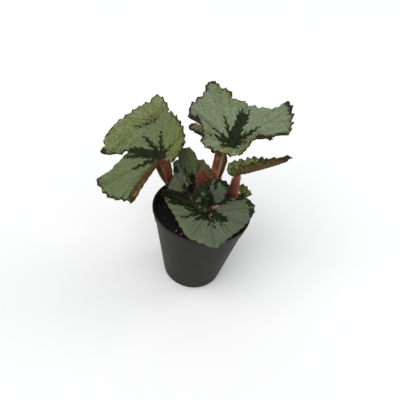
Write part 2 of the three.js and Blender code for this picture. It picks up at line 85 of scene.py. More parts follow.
# A leaf is a fan of ribs from the point where its stalk joins, "at". "turn" is the heading, pitch and
# roll in degrees of the blade's own plane, "tooth" the spacing and depth of the margin's teeth. Each
# margin row is one rib: (angle, length, rise at the base, bend over the rib, curl near the margin).
LEAVES = {
    "top": {
        "at": (10.5, 8.5, 95.5),
        "turn": (63, 26, 14),
        "tooth": (2.4, 1.2),
        "margin": [
            (-141, 9.8, 3, 12, 45), (-124, 9.4, 0, 25, 60), (-100, 10, -5, 45, 70),
            (-78, 11, -6, 55, 60), (-62, 12, -6, 60, 50), (-48.5, 13, 4, 28, 22),
            (-43.8, 15.1, 9, 12, 10), (-42.4, 17.4, 11, 3, 0), (-43.3, 19.2, 13, -8, -10),
            (-44.1, 21.7, 14, -20, -30), (-45.5, 25.3, 15, -30, -60), (-44.5, 25.4, 14, -24, -40),
            (-43.6, 25.1, 12, -12, -10), (-42.5, 27.5, 9, -6, 0), (-42.1, 30.7, 7, -8, -5),
            (-42, 34.3, 5, -10, -10), (-31, 41, 5, -12, -10), (-17, 46, 5, -12, 20),
            (-13, 44, 7, -22, -60), (-6, 39, 8, -25, -90), (2, 36, 8, -25, -80), (13, 33, 8, -25, -20),
            (21, 31, 8, -18, 0), (28.5, 30, 7, -12, 0), (31.5, 31, 6, -8, 10), (33.5, 34, 4, -5, 40),
            (36, 35.5, 3, -4, 20), (39, 37.5, 2, 0, 0), (42.6, 39, 2, 0, -20), (43, 41, 3, -2, 0),
            (46, 41.5, 4, -2, 0), (48.9, 42.2, 4, -4, 5), (53.5, 40.2, 5, -2, 0), (57.1, 37.4, 5, 0, 5),
            (60, 34.8, 5, 1, 10), (64, 33.6, 5, 0, 5), (69, 35, 5, -5, -10), (79, 33, 5, -5, -10),
            (88, 30, -1, 0, 20), (94, 24, 12, 5, 50), (107, 18, 5, 5, 40), (124, 17, 5, -5, -20),
            (146, 12, 5, -5, -20), (168.5, 8.8, 5, -5, 0), (186, 8.4, 5, 0, 20), (201, 8.9, 5, 0, 30),
            (217.5, 9.7, 3, 12, 45),
        ],
        "stalk_radii": (2.1, 2.6, 2.9),
        "stalk": [
            (6.5, 6.5, 52.5), (4.7, 7.8, 64), (3.9, 7.8, 72), (4.4, 8.2, 80), (4.6, 8.7, 86.5),
            (5.2, 8.8, 91),
        ],
    },
    "behind_top": {
        "at": (6, 26, 84),
        "turn": (180, -5, -25),
        "tooth": (2.2, 0.8),
        "margin": [
            (-150, 9, 5, 0, 0), (-120, 14, 5, 0, -20), (-90, 15, 5, -10, 20), (-60, 17, 5, -10, -20),
            (-45, 22, 5, -10, -10), (-34, 25.5, 5, -10, 0), (-28, 25.8, 5, -10, 0),
            (-25.5, 24, 5, -10, 10), (-24, 21, 5, -10, -10), (-23, 17.5, 5, -10, 0),
            (-20, 13.5, 3, -10, 0), (0, 9, 0, -10, 0), (40, 8, 0, -10, 0), (90, 6, 5, -10, 0),
            (140, 6, 5, 0, 0),
        ],
        "stalk_radii": (1.5, 1.4, 1.1),
        "stalk": [(11, 9, 53), (8.7, 12.5, 62), (7.2, 13.2, 68.5), (8.7, 15.5, 75.3), (9.5, 20.5, 79)],
    },
    "left_front": {
        "at": (-27, 2, 84),
        "turn": (170, 0, -30),
        "tooth": (2.4, 1.1),
        "margin": [
            (-211, 6, 5, 0, 20), (-172, 9, 5, 0, 10), (-140, 13, 5, -5, 10), (-116, 19, 5, -5, -10),
            (-101, 23, 5, -5, 10), (-86, 29, 5, -10, -10), (-76, 34, 8, -20, -40),
            (-66, 33, 8, -35, -90), (-48, 25, 8, -35, -90), (-24, 23, 8, -40, -90),
            (-1, 25, 8, -40, -90), (16, 28, 8, -40, -90), (29, 34, 6, -35, -60), (37, 38, 5, -20, 20),
            (47, 38, 5, -20, -10), (59, 36, 5, -20, 10), (66, 33, 5, -20, -10), (72.5, 31.5, 5, -15, 0),
            (77, 30.7, 1, -11, 0), (78.6, 29.3, 1, -11, 0), (78.9, 29.2, 8, -16, 0),
            (76.9, 29.2, 13, -21, 0), (73.4, 29, 16, -24, 0),
        ],
        "stalk_radii": (2.1, 2.4, 2.9),
        "stalk": [(-15.5, 8, 53), (-19, 8, 58.5), (-21.4, 7, 64.5), (-22.6, 5.2, 70.5), (-23.7, 3.2, 77)],
    },
    "left_back": {
        "at": (-37, 35, 88),
        "turn": (210, -26, -25),
        "tooth": (2.5, 1),
        "margin": [
            (-175, 9, 5, 0, 0), (-158, 12, 5, -5, 10), (-136, 16, 5, -5, 0), (-120, 19, 5, -5, -10),
            (-109, 17.5, 5, -5, -10), (-99, 14.8, 5, -5, 10), (-83, 16, 5, -8, -10),
            (-53, 18, 5, -8, 10), (-36, 24, 5, -10, -10), (-22, 30, 5, -15, 10), (-15, 36, 5, -20, -10),
            (-5, 37, 5, -20, 0), (-1, 40, 5, -20, 30), (3, 37, 5, -28, -20), (7, 33, 5, -30, 10),
            (12, 31, 5, -30, -10), (16, 26, 5, -30, 0), (60, 14, 5, -30, 0), (90, 11, 5, -20, 0),
            (130, 9, 5, -10, 0), (155, 8, 5, -10, 0),
        ],
        "stalk_radii": (1.9, 1.6),
        "stalk": [
            (-19.5, 15, 53), (-23.3, 14, 57.5), (-27.2, 14, 62.5), (-31.2, 16.5, 68), (-35, 23.5, 74),
            (-36.5, 30.5, 79),
        ],
    },
    "front": {
        "at": (4, -11, 61.5),
        "turn": (-85, -4, 0),
        "tooth": (2.6, 0.7),
        "margin": [
            (-172, 5, 5, 0, 0), (-149, 6, 4, 0, 0), (-134, 14, 2, 0, 0), (-126, 21, 0, 0, 0),
            (-121, 28, 0, 0, 0), (-117, 32, 0, -8, 0), (-104, 26, 0, -10, 0), (-80, 20, 0, -10, -10),
            (-51, 20, 0, -10, 0), (-29, 22, 0, -12, -10), (-10, 22, 0, -16, 0), (10, 24, 0, -18, 0),
            (22, 22, 0, -18, 0), (40, 20, 0, -15, 0), (65, 21, 0, -12, 0), (90, 25, 0, -10, 0),
            (104, 29, 0, -10, 0), (116, 31, 0, -10, 0), (124, 29, 0, -8, 10), (130, 25, 0, -5, 0),
            (135, 19, 0, 0, 15), (141, 13, 0, 0, 20), (148, 7, 0, 0, 0), (163, 4, 5, 0, 0),
        ],
        "stalk_radii": (1.8, 1.6),
        "stalk": [(2.8, 1, 53), (3, -4, 56.5)],
    },
    "right_folded": {
        "at": (17, 9, 76.2),
        "turn": (22, 16, -25),
        "tooth": (2.2, 0.9),
        "margin": [
            (-170, 3.5, 6, 0, 0), (-160, 5.5, 22, 0, 0), (-149, 6.2, 48, 0, 0), (-120, 5, 66, 0, 0),
            (-90, 5.5, 60, 0, 0), (-50, 6.2, 57, 0, 0), (-15, 7.7, 36, 0, 0), (-8, 11.2, 23, 0, 0),
            (-5, 15, 16, 0, 0), (-3, 20.8, 10, 0, 0), (-1.5, 29.3, 4.4, 0, 0), (-0.6, 35.2, 1.5, 0, 0),
            (0.3, 31.8, -1, 0, 0), (1.5, 28.5, 3, 0, 0), (4, 20, 9, 0, 0), (9, 14, 29, 0, 0),
            (18, 10.4, 43, 0, 0), (40, 8.8, 59, 0, 0), (90, 9, 52, 0, 0), (138, 7.6, 50, 0, 0),
            (154, 6.5, 34, 0, 0), (166, 5, 15, 0, 0),
        ],
        "stalk_radii": (3.3, 2.6),
        "stalk": [(19, 9.5, 52.5), (18, 9.7, 60), (17.4, 9.5, 67)],
    },
    "back_middle": {
        "at": (-6, 9, 64),
        "turn": (105, 50, 0),
        "tooth": (2.2, 0.5),
        "margin": [
            (-87, 4, 5, 0, 0), (-73, 9, 5, 0, 0), (-54, 13, 5, 0, 0), (-30, 14, 5, 0, 0),
            (-16, 16, 5, -10, 0), (-4, 15, 8, -10, 0), (1, 18, 15, -20, 0), (9, 22, 15, -20, 0),
            (18, 23, 12, -10, 0), (27, 22, 10, -10, 0), (39, 18, 10, 0, 0), (48, 14, 10, 10, 0),
            (57, 9, 5, 10, 0), (88, 4, 5, 0, 0),
        ],
        "stalk_radii": (1.5, 1.3),
        "stalk": [(-4.2, 6.5, 53), (-5.2, 8, 58.5)],
    },
    "back_left": {
        "at": (-12, 1, 65.2),
        "turn": (110, 52, 0),
        "tooth": (2, 0.6),
        "margin": [
            (-64, 2.3, 5, 0, 0), (-16, 6, 5, 0, 0), (-1, 9.6, 5, 0, 0), (5.5, 13.2, 5, 0, 0),
            (9, 16.6, 5, 0, 0), (15, 17.6, 5, 0, 0), (20.8, 17.2, 5, 0, 0), (25.5, 14.8, 5, 0, 0),
            (33.2, 11.9, 5, 0, 0), (50, 10, 5, 0, 0), (76, 10.2, 5, 0, 0), (88.6, 10.6, 5, 0, 0),
            (102, 6, 5, 0, 0), (148, 1.8, 5, 0, 0),
        ],
        "stalk_radii": (1.4, 1.2),
        "stalk": [(-8.3, 5, 53), (-10.5, 4, 59)],
    },
    "centre_right": {
        "at": (5, -2, 61),
        "turn": (60, 68, 0),
        "tooth": (2, 0.8),
        "margin": [
            (-70, 4.5, 12, 0, 0), (-50, 9, 5, 0, 0), (-37, 12, 5, 0, 0), (-26, 16, 5, 0, 0),
            (-11, 16, 5, -10, 0), (5, 15, 5, -10, 0), (22, 14, 5, -10, 0), (35, 12, 5, 0, 0),
            (50, 8, 5, 0, 0), (74, 5, 5, 0, 0),
        ],
        "stalk_radii": (1.4, 1.2),
        "stalk": [(6, 1, 53), (5.5, -0.5, 57)],
    },
    "centre_left": {
        "at": (1.5, -4, 65),
        "turn": (160, 5, -42),
        "tooth": (1.9, 0.6),
        "margin": [
            (-72, 6.5, 5, 0, 0), (-50, 9, 5, 0, 0), (-23, 9, 5, 0, 0), (6, 8, 10, 0, 0),
            (43, 9, 25, 0, 0), (78, 11, 38, 0, 0), (102, 12, 42, -5, 0), (122, 12.5, 42, -5, 0),
            (139, 9, 35, 0, 0),
        ],
        "stalk_radii": (1.3, 1.1),
        "stalk": [(-1, 1, 53), (-0.5, -1.5, 58)],
    },
    "right_small": {
        "at": (22.8, 9.5, 60),
        "turn": (40, 20, 0),
        "tooth": (1.9, 0.9),
        "margin": [
            (-80, 3, 5, 0, 0), (-47, 4, 5, 0, 0), (-24, 7, 5, 0, 0), (7, 7, 5, 0, 0), (33, 9, 5, 0, 0),
            (48, 10, 5, 0, 0), (68, 7, 5, 0, 0),
        ],
        "stalk_radii": (1, 0.9),
        "stalk": [(14, 4.5, 52.5), (20, 3.2, 56), (23.6, 5.8, 58.5)],
    },
}

# Colour marks of each leaf, placed by (angle in degrees, distance in mm) from its stalk's joint.
# "veins": (angle, length). "streaks": dark wedges (angle, from, to, half width at each end), "lights"
# the same for silver left inside them. "green", "warm", "rust", "plum": base amount, then patches
# (angle, distance, radius, amount), left out where there are none. "rim": strength of the dark
# margin. "ruffle": height of the margin's long and short waves. "feather": how far the dark runs out
# along side veins. "frill": depth of the scallops along the last rib. "upright": the share of a tooth
# by which it also lifts its rib's end.
PAINT = {
    "top": {
        "veins": [(-100, 9), (-62, 13), (-21, 45), (12, 34), (46, 43), (80, 33), (112, 17), (150, 11)],
        "streaks": [
            (-21, 0, 20, 2.0, -0.3), (14, 0, 20.5, 3.0, 1.9), (7, 16, 26, 1.4, -0.3), (18, 17, 24, 1.6, -0.2),
            (47, 0, 18, 2.0, -0.3), (84, 0, 14, 1.9, -0.2), (103, 2, 13, 1.4, -0.3), (140, 0, 9, 1.4, -0.3),
            (30, 1, 6, 3.0, 2.2), (-45, 0, 7, 2.0, 0.2),
        ],
        "green": (0.1, [(12, 30, 6, 0.3), (-60, 8, 6, 0.8), (100, 14, 5, 0.3), (37, 35, 5, 0.5)]),
        "warm": (0.05, [
            (35, 35, 6, 0.6), (18, 30, 6, 0.3), (-72, 9, 3.5, 1.0), (-120, 7.5, 2.5, 1.0), (-43, 15, 3, 0.9),
            (160, 5, 3.5, 0.9), (205, 6, 3, 0.9),
        ]),
        "rust": (0.0, [
            (-72, 9.5, 3, 0.9), (-120, 8, 2.5, 0.9), (-43, 15.5, 2.5, 0.8), (-33, 15.5, 3, 0.7),
            (-52, 11, 2, 0.6),
            (-95, 8, 2, 0.7), (75, 33, 3, 0.3), (200, 6, 3, 0.6),
        ]),
        "plum": (0.0, [
            (47, 42, 3, 0.9), (-24, 43, 3.5, 0.8), (-17, 45, 3, 0.8), (-32, 40, 3, 0.7), (-38, 35, 2.5, 0.6),
            (95, 23, 2.5, 0.5), (66, 34, 3, 0.6), (56, 37, 2.5, 0.6), (80, 33, 3, 0.6), (-62, 12, 2, 0.4),
        ]),
        "rim": 1.15,
        "ruffle": (0.7, 0.35),
    },
    "behind_top": {
        "veins": [(-100, 15), (-60, 18), (-28, 26), (0, 12), (60, 7)],
        "streaks": [(-28, 0, 9, 1.5, 0.6), (-60, 0, 7, 1.2, 0.5)],
        "green": (0.15, []),
        "warm": (0.45, []),
        "rust": (0.3, [(-26, 18, 3, 0.7)]),
        "plum": (0.0, [(-22, 22, 2.5, 0.8), (-25, 16, 2.5, 0.8), (-33, 26, 2, 0.6)]),
        "rim": 2.0,
        "ruffle": (0.6, 0.35),
    },
    "left_front": {
        "veins": [(-150, 11), (-113, 19), (-72, 34), (-37, 23), (6, 26), (45, 38), (76, 30)],
        "streaks": [
            (1, 0, 22, 2.2, 1.3), (14, 2, 23, 1.7, 0.7), (-35, 0, 18.5, 1.6, 0.3), (-68, 0, 16.5, 1.6, -0.2),
            (45, 0, 17, 1.4, 0.1), (-110, 0, 9, 1.2, -0.3), (8, 0, 8, 2.5, 2.4), (-15, 3, 9, 1.2, 0.0),
        ],
        "green": (0.3, [(60, 26, 12, -0.2), (-80, 30, 7, 0.2)]),
        # partly painted light: the yellow patches at -108° and -140° stand for light shining through the thin
        # blade
        "warm": (0.1, [(-108, 13, 8, 0.6), (-80, 20, 5, 0.4), (-140, 8, 6, 0.8), (80, 18, 6, 0.2)]),
        "rust": (0.0, [(-150, 9, 3, 0.4), (0, 0, 1.8, 0.9), (-125, 4, 2.5, 0.5)]),
        "plum": (0.0, [(38, 38, 3, 0.7), (70, 33, 3, 0.5), (-104, 23, 2, 0.5)]),
        "rim": 1.35,
        "ruffle": (0.5, 0.3),
        "frill": 1.7,
    },
    "left_back": {
        "veins": [(-150, 13), (-110, 19), (-76, 17), (-38, 23), (-4, 39), (28, 24), (70, 14), (115, 10)],
        "streaks": [
            (-12, 1, 14, 0.5, 0.3), (-24, 2, 9, 0.4, -0.2), (-76, 0, 6, 0.5, -0.3), (-40, 0, 9, 0.4, -0.2),
        ],
        "feather": 0.5,
        # partly painted shade: the green patches darken the blade near its tip, where it curves down
        "green": (0.6, [(4, 28, 9, 0.6), (-10, 33, 8, 0.4)]),
        "warm": (0.35, [(-110, 12, 8, 0.3), (-40, 16, 9, 0.1)]),
        "rust": (0.0, [(-95, 3, 3.5, 0.9), (-20, 4, 3, 0.7), (-140, 9, 3.5, 0.5), (-16, 10, 3, 0.5)]),
        "plum": (0.0, [(0, 39, 3, 1.0), (6, 33, 2, 0.5), (-13, 12, 3, 0.35), (-60, 4, 2, 0.3)]),
        "rim": 1.0,
        "ruffle": (0.5, 0.25),
    },
    "front": {
        "veins": [
            (-150, 6), (-116, 32), (-75, 20), (-24, 22), (10, 24), (47, 20), (77, 23), (109, 29), (135, 19),
        ],
        "streaks": [
            # painted shade: the first wedge (62°) and the round mark at the joint (0°, out to 4 mm) darken
            # the hollow by the joint over the leaf's own dark centre
            (62, 0, 9.5, 2.4, 2.4), (18, 0, 12, 1.5, -0.2), (0, 0, 11, 1.3, -0.3), (36, 0, 12, 1.7, -0.2),
            (-66, 0, 15.5, 1.9, 0.2), (-42, 0, 13, 1.8, 0.1), (-88, 3, 11, 2.0, 0.8), (0, 0, 4, 3.6, 3.6),
            # the -110° and -117° wedges are the upper-left lobe's own dark zone, and partly painted shade
            # under the leaf behind it
            (-110, 5, 20, 2.6, 4.2), (-117, 17, 30, 4.2, 2.6), (136, 8, 20, 0.4, 1.0),
            (127, 22, 28, 1.4, 2.3),
            (117, 28.5, 31, 2.6, 2.6), (104, 27.5, 29.4, 2.2, 2.0), (94, 25, 26.5, 1.5, 1.2),
        ],
        "green": (0.1, [(110, 26, 5, 0.5), (-60, 12, 5, 0.4), (-112, 22, 7, 0.6)]),
        "warm": (0.0, [(-45, 20.5, 3, 0.5), (-30, 21.5, 3, 0.45), (-60, 20, 3, 0.45), (-18, 22, 3, 0.3)]),
        "rim": 0.35,
        "ruffle": (0.25, 0.15),
    },
    "right_folded": {
        "veins": [(-90, 5), (-25, 8), (0, 35), (25, 12), (90, 9), (140, 7)],
        "streaks": [(0, 0, 1.5, 0.8, 0.5)],
        "green": (0.05, [(0, 30, 8, 0.4)]),
        "warm": (0.15, []),
        "rust": (0.0, [(0, 30, 8, 0.6)]),
        "rim": 0.6,
        "ruffle": (0.6, 0.4),
        "upright": 1.5,
    },
    "back_middle": {
        "veins": [(-45, 13), (-14, 16), (19, 23), (46, 15)],
        "streaks": [
            (19, 0, 6, 2.6, 1.0), (46, 0, 5, 2.2, 0.4), (-14, 0, 5, 2.4, 0.6), (-45, 0, 7, 2.0, 0.4),
            (41, 5, 16.5, 0.1, -0.3),
        ],
        "green": (0.5, [(46, 13, 3.5, -0.5), (22, 14, 4, -0.2)]),
        "warm": (0.1, [(-14, 12, 5, 0.3), (15, 19, 5, 0.35), (-40, 11, 4, 0.2)]),
        "rim": 0.4,
        "ruffle": (0.1, 0.05),
    },
    "back_left": {
        "veins": [(5, 10), (24, 16), (62, 10)],
        "streaks": [(21, 12.2, 13.6, 1.0, 0.6), (-10, 0, 3, 1.0, 0.3)],
        "green": (0.05, [(-5, 8, 3, 0.2), (20, 16, 3, 0.3)]),
        "warm": (0.05, [(20, 16.5, 3, 0.4)]),
        "rust": (0.0, [(22, 16, 3, 0.5), (12, 12.5, 1.2, 0.6)]),
        "rim": 0.7,
        "ruffle": (0.3, 0.2),
    },
    "centre_right": {
        "veins": [(-45, 10), (-15, 16), (15, 14), (45, 9)],
        "streaks": [
            (-40, 11, 12, 1.0, 0.9), (-24, 15.4, 16.6, 1.8, 2.1), (-12, 15.7, 16.6, 2.2, 2.3),
            (5, 14.4, 16, 1.8, 1.9), (24, 13.3, 15, 1.5, 1.7), (36, 9, 12, 1.4, 1.6), (60, 4, 8, 1.2, 1.2),
            (6, 9, 14, 0.3, 1.4), (30, 0, 4, 1.4, 0.8),
        ],
        "green": (0.15, []),
        "rim": 0.8,
        "ruffle": (0.3, 0.2),
    },
    "centre_left": {
        "veins": [(-40, 9), (20, 8), (75, 11), (120, 12)],
        "streaks": [(-40, 0, 9, 5, 5), (20, 0, 8, 5, 5), (75, 0, 11, 5, 5), (120, 0, 12, 5, 5)],
        "lights": [
            (-30, 2.2, 5.0, 0.9, 1.2), (38, 3.6, 4.4, 1.1, 1.1), (59, 5.6, 6.6, 0.7, 0.8),
            (96, 8.8, 9.4, 1.2, 1.0), (117, 9.8, 10.6, 1.3, 0.9), (73, 8.2, 8.8, 0.7, 0.6),
        ],
        "green": (0.35, []),
        "rim": 0.6,
        "ruffle": (0.2, 0.15),
    },
    "right_small": {
        "veins": [(-40, 5), (10, 7), (48, 10)],
        "streaks": [(10, 0, 3, 0.7, 0.4)],
        "green": (0.7, []),
        "warm": (1.0, []),
        "rust": (0.0, [(10, 6, 3, 0.3)]),
        "rim": 0.9,
        "ruffle": (0.2, 0.15),
    },
}

NO_SPOTS = (0.0, [])

RHIZOME_RADII = [3.4, 4.6, 5, 4.8, 4.4]
RHIZOME = [(-18.5, 11.5, 51.3), (-7.5, 6.5, 52.5), (2, 3.5, 53), (10, 6, 53), (18.5, 8.5, 52)]

# Folded young leaf beside the growing tip.
BUD_RADII = [1.4, 1.4, 1.5, 2.1, 3, 3.4, 2.9, 0.8]
BUD = [(-0.6, 7, 53), (-1, 6.8, 58.5), (-1.8, 7, 64.6), (-2.6, 7.5, 70.6), (-3.2, 8, 75.6)]


# ---------------------------------------------------------------- node graphs


class Graph:
    """A material's node tree with one Principled shader, built by short calls."""

    def __init__(self, name, **constants):
        self.material = bpy.data.materials.new(name)
        self.material.use_nodes = True
        self.nodes = self.material.node_tree.nodes
        self.links = self.material.node_tree.links
        self.shader = self.nodes["Principled BSDF"]
        for socket, value in constants.items():
            self.shader.inputs[socket.replace("_", " ")].default_value = value

    def put(self, socket, value):
        if isinstance(value, bpy.types.NodeSocket):
            self.links.new(value, socket)
        elif isinstance(value, (tuple, list)) and len(value) == 3 and len(socket.default_value) == 4:
            socket.default_value = (*value, 1.0)
        else:
            socket.default_value = value

    def node(self, kind, output, inputs, **settings):
        """A new node with its inputs set or linked. Gives the chosen output."""
        made = self.nodes.new(kind)
        for name, value in settings.items():
            setattr(made, name, value)
        for socket, value in inputs.items():
            self.put(made.inputs[socket], value)
        return made.outputs[output]

    def attribute(self, name, output="Fac"):
        return self.node("ShaderNodeAttribute", output, {}, attribute_name=name)

    def object_place(self):
        return self.node("ShaderNodeTexCoord", "Object", {})

    def math(self, operation, a, b=0.0, clamp=False):
        return self.node("ShaderNodeMath", 0, {0: a, 1: b}, operation=operation, use_clamp=clamp)

    def scaled(self, vector, factors):
        return self.node("ShaderNodeVectorMath", 0, {0: vector, 1: factors}, operation="MULTIPLY")

    def step(self, value, low, high, to_low=0.0, to_high=1.0):
        """Smooth step of value from low to high."""
        inputs = {"Value": value, "From Min": low, "From Max": high, "To Min": to_low, "To Max": to_high}
        return self.node("ShaderNodeMapRange", "Result", inputs, interpolation_type="SMOOTHSTEP")

    def noise(self, vector, scale, detail=3.0, roughness=0.55):
        inputs = {"Vector": vector, "Scale": scale, "Detail": detail, "Roughness": roughness}
        return self.node("ShaderNodeTexNoise", "Fac", inputs)

    def cell_edges(self, vector, scale):
        """Distance to the nearest edge in a Voronoi pattern."""
        inputs = {"Vector": vector, "Scale": scale}
        return self.node("ShaderNodeTexVoronoi", "Distance", inputs, feature="DISTANCE_TO_EDGE")

    def cell_draw(self, vector, scale):
        """One random value for each cell of the same Voronoi pattern."""
        colour = self.node("ShaderNodeTexVoronoi", "Color", {"Vector": vector, "Scale": scale})
        return self.math("FRACT", self.math("MULTIPLY", colour, 3.0))

    def mix(self, factor, a, b):
        return self.node("ShaderNodeMix", 2, {0: factor, 6: a, 7: b}, data_type="RGBA")

    def bump(self, height, distance, strength=1.0):
        inputs = {"Strength": strength, "Distance": distance, "Height": height}
        return self.node("ShaderNodeBump", "Normal", inputs)

    def finish(self, colour, roughness, normal=None):
        self.put(self.shader.inputs["Base Color"], colour)
        self.put(self.shader.inputs["Roughness"], roughness)
        if normal is not None:
            self.put(self.shader.inputs["Normal"], normal)
        return self.material


# ---------------------------------------------------------------- materials

SILVER = (0.205, 0.25, 0.155)
GREEN = (0.1, 0.138, 0.048)
YELLOW = (0.16, 0.185, 0.03)
DARK = (0.004, 0.0075, 0.001)
DARK_VEIN = (0.034, 0.045, 0.009)
RIM = (0.02, 0.018, 0.006)
RIM_RED = (0.065, 0.03, 0.013)
RIM_GREEN = (0.03, 0.04, 0.01)
RUST = (0.12, 0.058, 0.024)
PLUM = (0.024, 0.014, 0.009)
VEIN_THREAD = (0.05, 0.07, 0.027)
DARK_PATCH = (0.022, 0.031, 0.005)
UNDER_RIM = (0.03, 0.012, 0.008)
# painted shade at the stalks' feet
STALK_FOOT_SHADE = (0.03, 0.01, 0.007)
POT_DARK = (0.014, 0.0132, 0.0122)
POT_PALE = (0.021, 0.0197, 0.018)
POT_SCUFF = (0.06, 0.06, 0.058)
POT_DUST = (0.05, 0.044, 0.036)
PEAT_DARK = (0.004, 0.0035, 0.003)
PEAT_BROWN = (0.016, 0.01, 0.006)
PEAT_SPECK = (0.05, 0.03, 0.017)
PERLITE_PALE = (0.62, 0.61, 0.57)
PERLITE_DIRTY = (0.36, 0.33, 0.28)
PAPER_PALE = (0.43, 0.28, 0.18)
PAPER_BROWN = (0.3, 0.15, 0.08)
RHIZOME_BROWN = (0.035, 0.016, 0.01)
RHIZOME_DARK = (0.01, 0.006, 0.004)

NET_SCALE = 850.0  # meshes of the fine vein net in a metre


def tinted(colour, factor):
    return tuple(factor * c for c in colour)


def leaf_top_material(name, silver, vein_strength=0.4, edge_tint=RIM_RED):
    """Upper side: silver between a fine net of green veinlets, with painted marks and a dark star."""
    g = Graph(name, Specular_IOR_Level=0.1)
    place = g.object_place()
    coarse = g.noise(place, 170.0, 3.0)
    mottle = g.noise(place, 900.0, 3.0, 0.65)
    speckle = g.noise(place, 1500.0, 3.0, 0.7)
    stripe = g.noise(g.attribute("fan", "Vector"), 1.0, 3.0, 0.6)
    net = g.cell_edges(place, NET_SCALE)
    patch = g.cell_draw(place, NET_SCALE)
    thread = g.math(
        "MAXIMUM",
        g.step(g.attribute("vein"), 0.1, 0.6, vein_strength, 0.0),
        g.step(g.attribute("twig"), 0.05, 0.5, 0.6 * vein_strength, 0.0),
    )
    green = g.math("ADD", g.attribute("green"), g.step(coarse, 0.35, 0.7, -0.15, 0.25), clamp=True)
    colour = g.mix(green, silver, GREEN)
    warm = g.math("ADD", g.attribute("warm"), g.step(coarse, 0.3, 0.7, -0.08, 0.08), clamp=True)
    colour = g.mix(warm, colour, YELLOW)
    colour = g.mix(g.step(stripe, 0.35, 0.75, 0.0, 0.35), colour, tinted(silver, 0.7))
    colour = g.mix(g.step(patch, 0.2, 0.8, 0.0, 0.35), colour, tinted(silver, 1.4))
    colour = g.mix(g.step(speckle, 0.42, 0.72, 0.0, 0.25), colour, tinted(silver, 1.6))
    colour = g.mix(g.step(net, 0.0, 0.16, 0.4, 0.0), colour, tinted(GREEN, 0.6))
    colour = g.mix(thread, colour, VEIN_THREAD)
    rust = g.math("MULTIPLY", g.attribute("rust"), g.step(mottle, 0.4, 0.6))
    colour = g.mix(rust, colour, RUST)
    ragged = g.math("ADD", g.step(mottle, 0.25, 0.75, -0.75, 0.75), g.step(patch, 0.0, 1.0, -0.35, 0.35))
    dark = g.step(g.math("ADD", g.attribute("dark"), ragged), -0.3, 0.35, 0.0, 0.97)
    inside = g.mix(g.step(thread, 0.1, 0.8, 0.0, 0.8), DARK, DARK_VEIN)
    inside = g.mix(g.step(patch, 0.45, 0.95, 0.0, 0.6), inside, DARK_PATCH)
    colour = g.mix(dark, colour, inside)
    plum = g.math("ADD", g.attribute("plum"), g.step(mottle, 0.3, 0.7, -0.3, 0.3))
    colour = g.mix(g.step(plum, 0.3, 0.7, 0.0, 0.95), colour, PLUM)
    rim = g.math("ADD", g.attribute("rim"), g.math("MULTIPLY", ragged, 0.7))
    edge_colour = g.mix(g.step(g.noise(place, 420.0, 2.0), 0.43, 0.65), RIM, edge_tint)
    colour = g.mix(g.step(rim, 0.55, 1.0, 0.93, 0.0), colour, edge_colour)
    rough = g.step(speckle, 0.3, 0.8, 0.5, 0.66)
    grain = g.math("ADD", g.math("MULTIPLY", net, 1.6), g.math("MULTIPLY", speckle, 0.6))
    return g.finish(colour, rough, g.bump(grain, 0.0002, 0.9))


def leaf_under_material(name, base, vein_colour, olive, spots=0.3):
    """Underside: brown to olive, with raised veins, dark spots and a dark margin."""
    g = Graph(name, Specular_IOR_Level=0.12)
    place = g.object_place()
    coarse = g.noise(place, 260.0, 4.0, 0.6)
    speckle = g.noise(place, 1300.0, 3.0, 0.7)
    colour = g.mix(g.step(coarse, 0.35, 0.65), base, olive)
    colour = g.mix(g.step(speckle, 0.45, 0.7, 0.0, 0.6), colour, vein_colour)
    thread = g.math(
        "MAXIMUM",
        g.step(g.attribute("vein"), 0.3, 1.1, 0.85, 0.0),
        g.step(g.attribute("twig"), 0.1, 0.7, 0.6, 0.0),
    )
    colour = g.mix(thread, colour, vein_colour)
    mottle = g.noise(place, 900.0, 3.0, 0.65)
    colour = g.mix(g.step(mottle, 0.52, 0.64, 0.0, spots), colour, RIM)
    rim = g.math("ADD", g.attribute("rim"), g.step(mottle, 0.3, 0.7, -0.9, 0.9))
    colour = g.mix(g.step(rim, 0.3, 1.0, 0.92, 0.0), colour, UNDER_RIM)
    return g.finish(colour, g.step(speckle, 0.3, 0.8, 0.55, 0.7), g.bump(speckle, 0.00018, 0.8))


def hair_material(name, colour, tip):
    g = Graph(name, Specular_IOR_Level=0.2)
    shade = g.mix(g.step(g.noise(g.object_place(), 900.0, 1.0), 0.35, 0.65), colour, tip)
    return g.finish(shade, 0.5)


def stalk_material(name, red, pale, olive):
    """Skin with fine lines along the stalk, dark dots, a painted highlight up its lit side and painted shade
    at its foot.
    """
    g = Graph(name, Specular_IOR_Level=0.12)
    skin = g.attribute("skin", "Vector")
    place = g.object_place()
    lines = g.noise(g.scaled(skin, (3.0, 0.25, 1.0)), 1.0, 3.0, 0.6)
    patches = g.noise(place, 220.0, 3.0)
    dots = g.noise(place, 1600.0, 2.0, 0.7)
    colour = g.mix(g.step(lines, 0.45, 0.75, 0.0, 0.3), red, pale)
    colour = g.mix(g.step(patches, 0.45, 0.7, 0.0, 0.4), colour, olive)
    # painted highlight: the stalk is paler up its lit side
    highlight = g.math("ADD", g.attribute("highlight"), g.step(lines, 0.3, 0.7, -0.3, 0.3), clamp=True)
    colour = g.mix(g.math("MULTIPLY", highlight, 0.8), colour, pale)
    colour = g.mix(g.step(dots, 0.5, 0.7, 0.0, 0.5), colour, tinted(red, 0.5))
    # painted shade: the stalk darkens towards its foot, low among the leaves by the soil
    foot = g.step(g.attribute("run"), 0.0, 0.16, 0.6, 0.0)
    colour = g.mix(foot, colour, STALK_FOOT_SHADE)
    grain = g.bump(g.math("ADD", lines, dots), 0.00018, 0.8)
    return g.finish(colour, g.step(dots, 0.3, 0.7, 0.42, 0.6), grain)


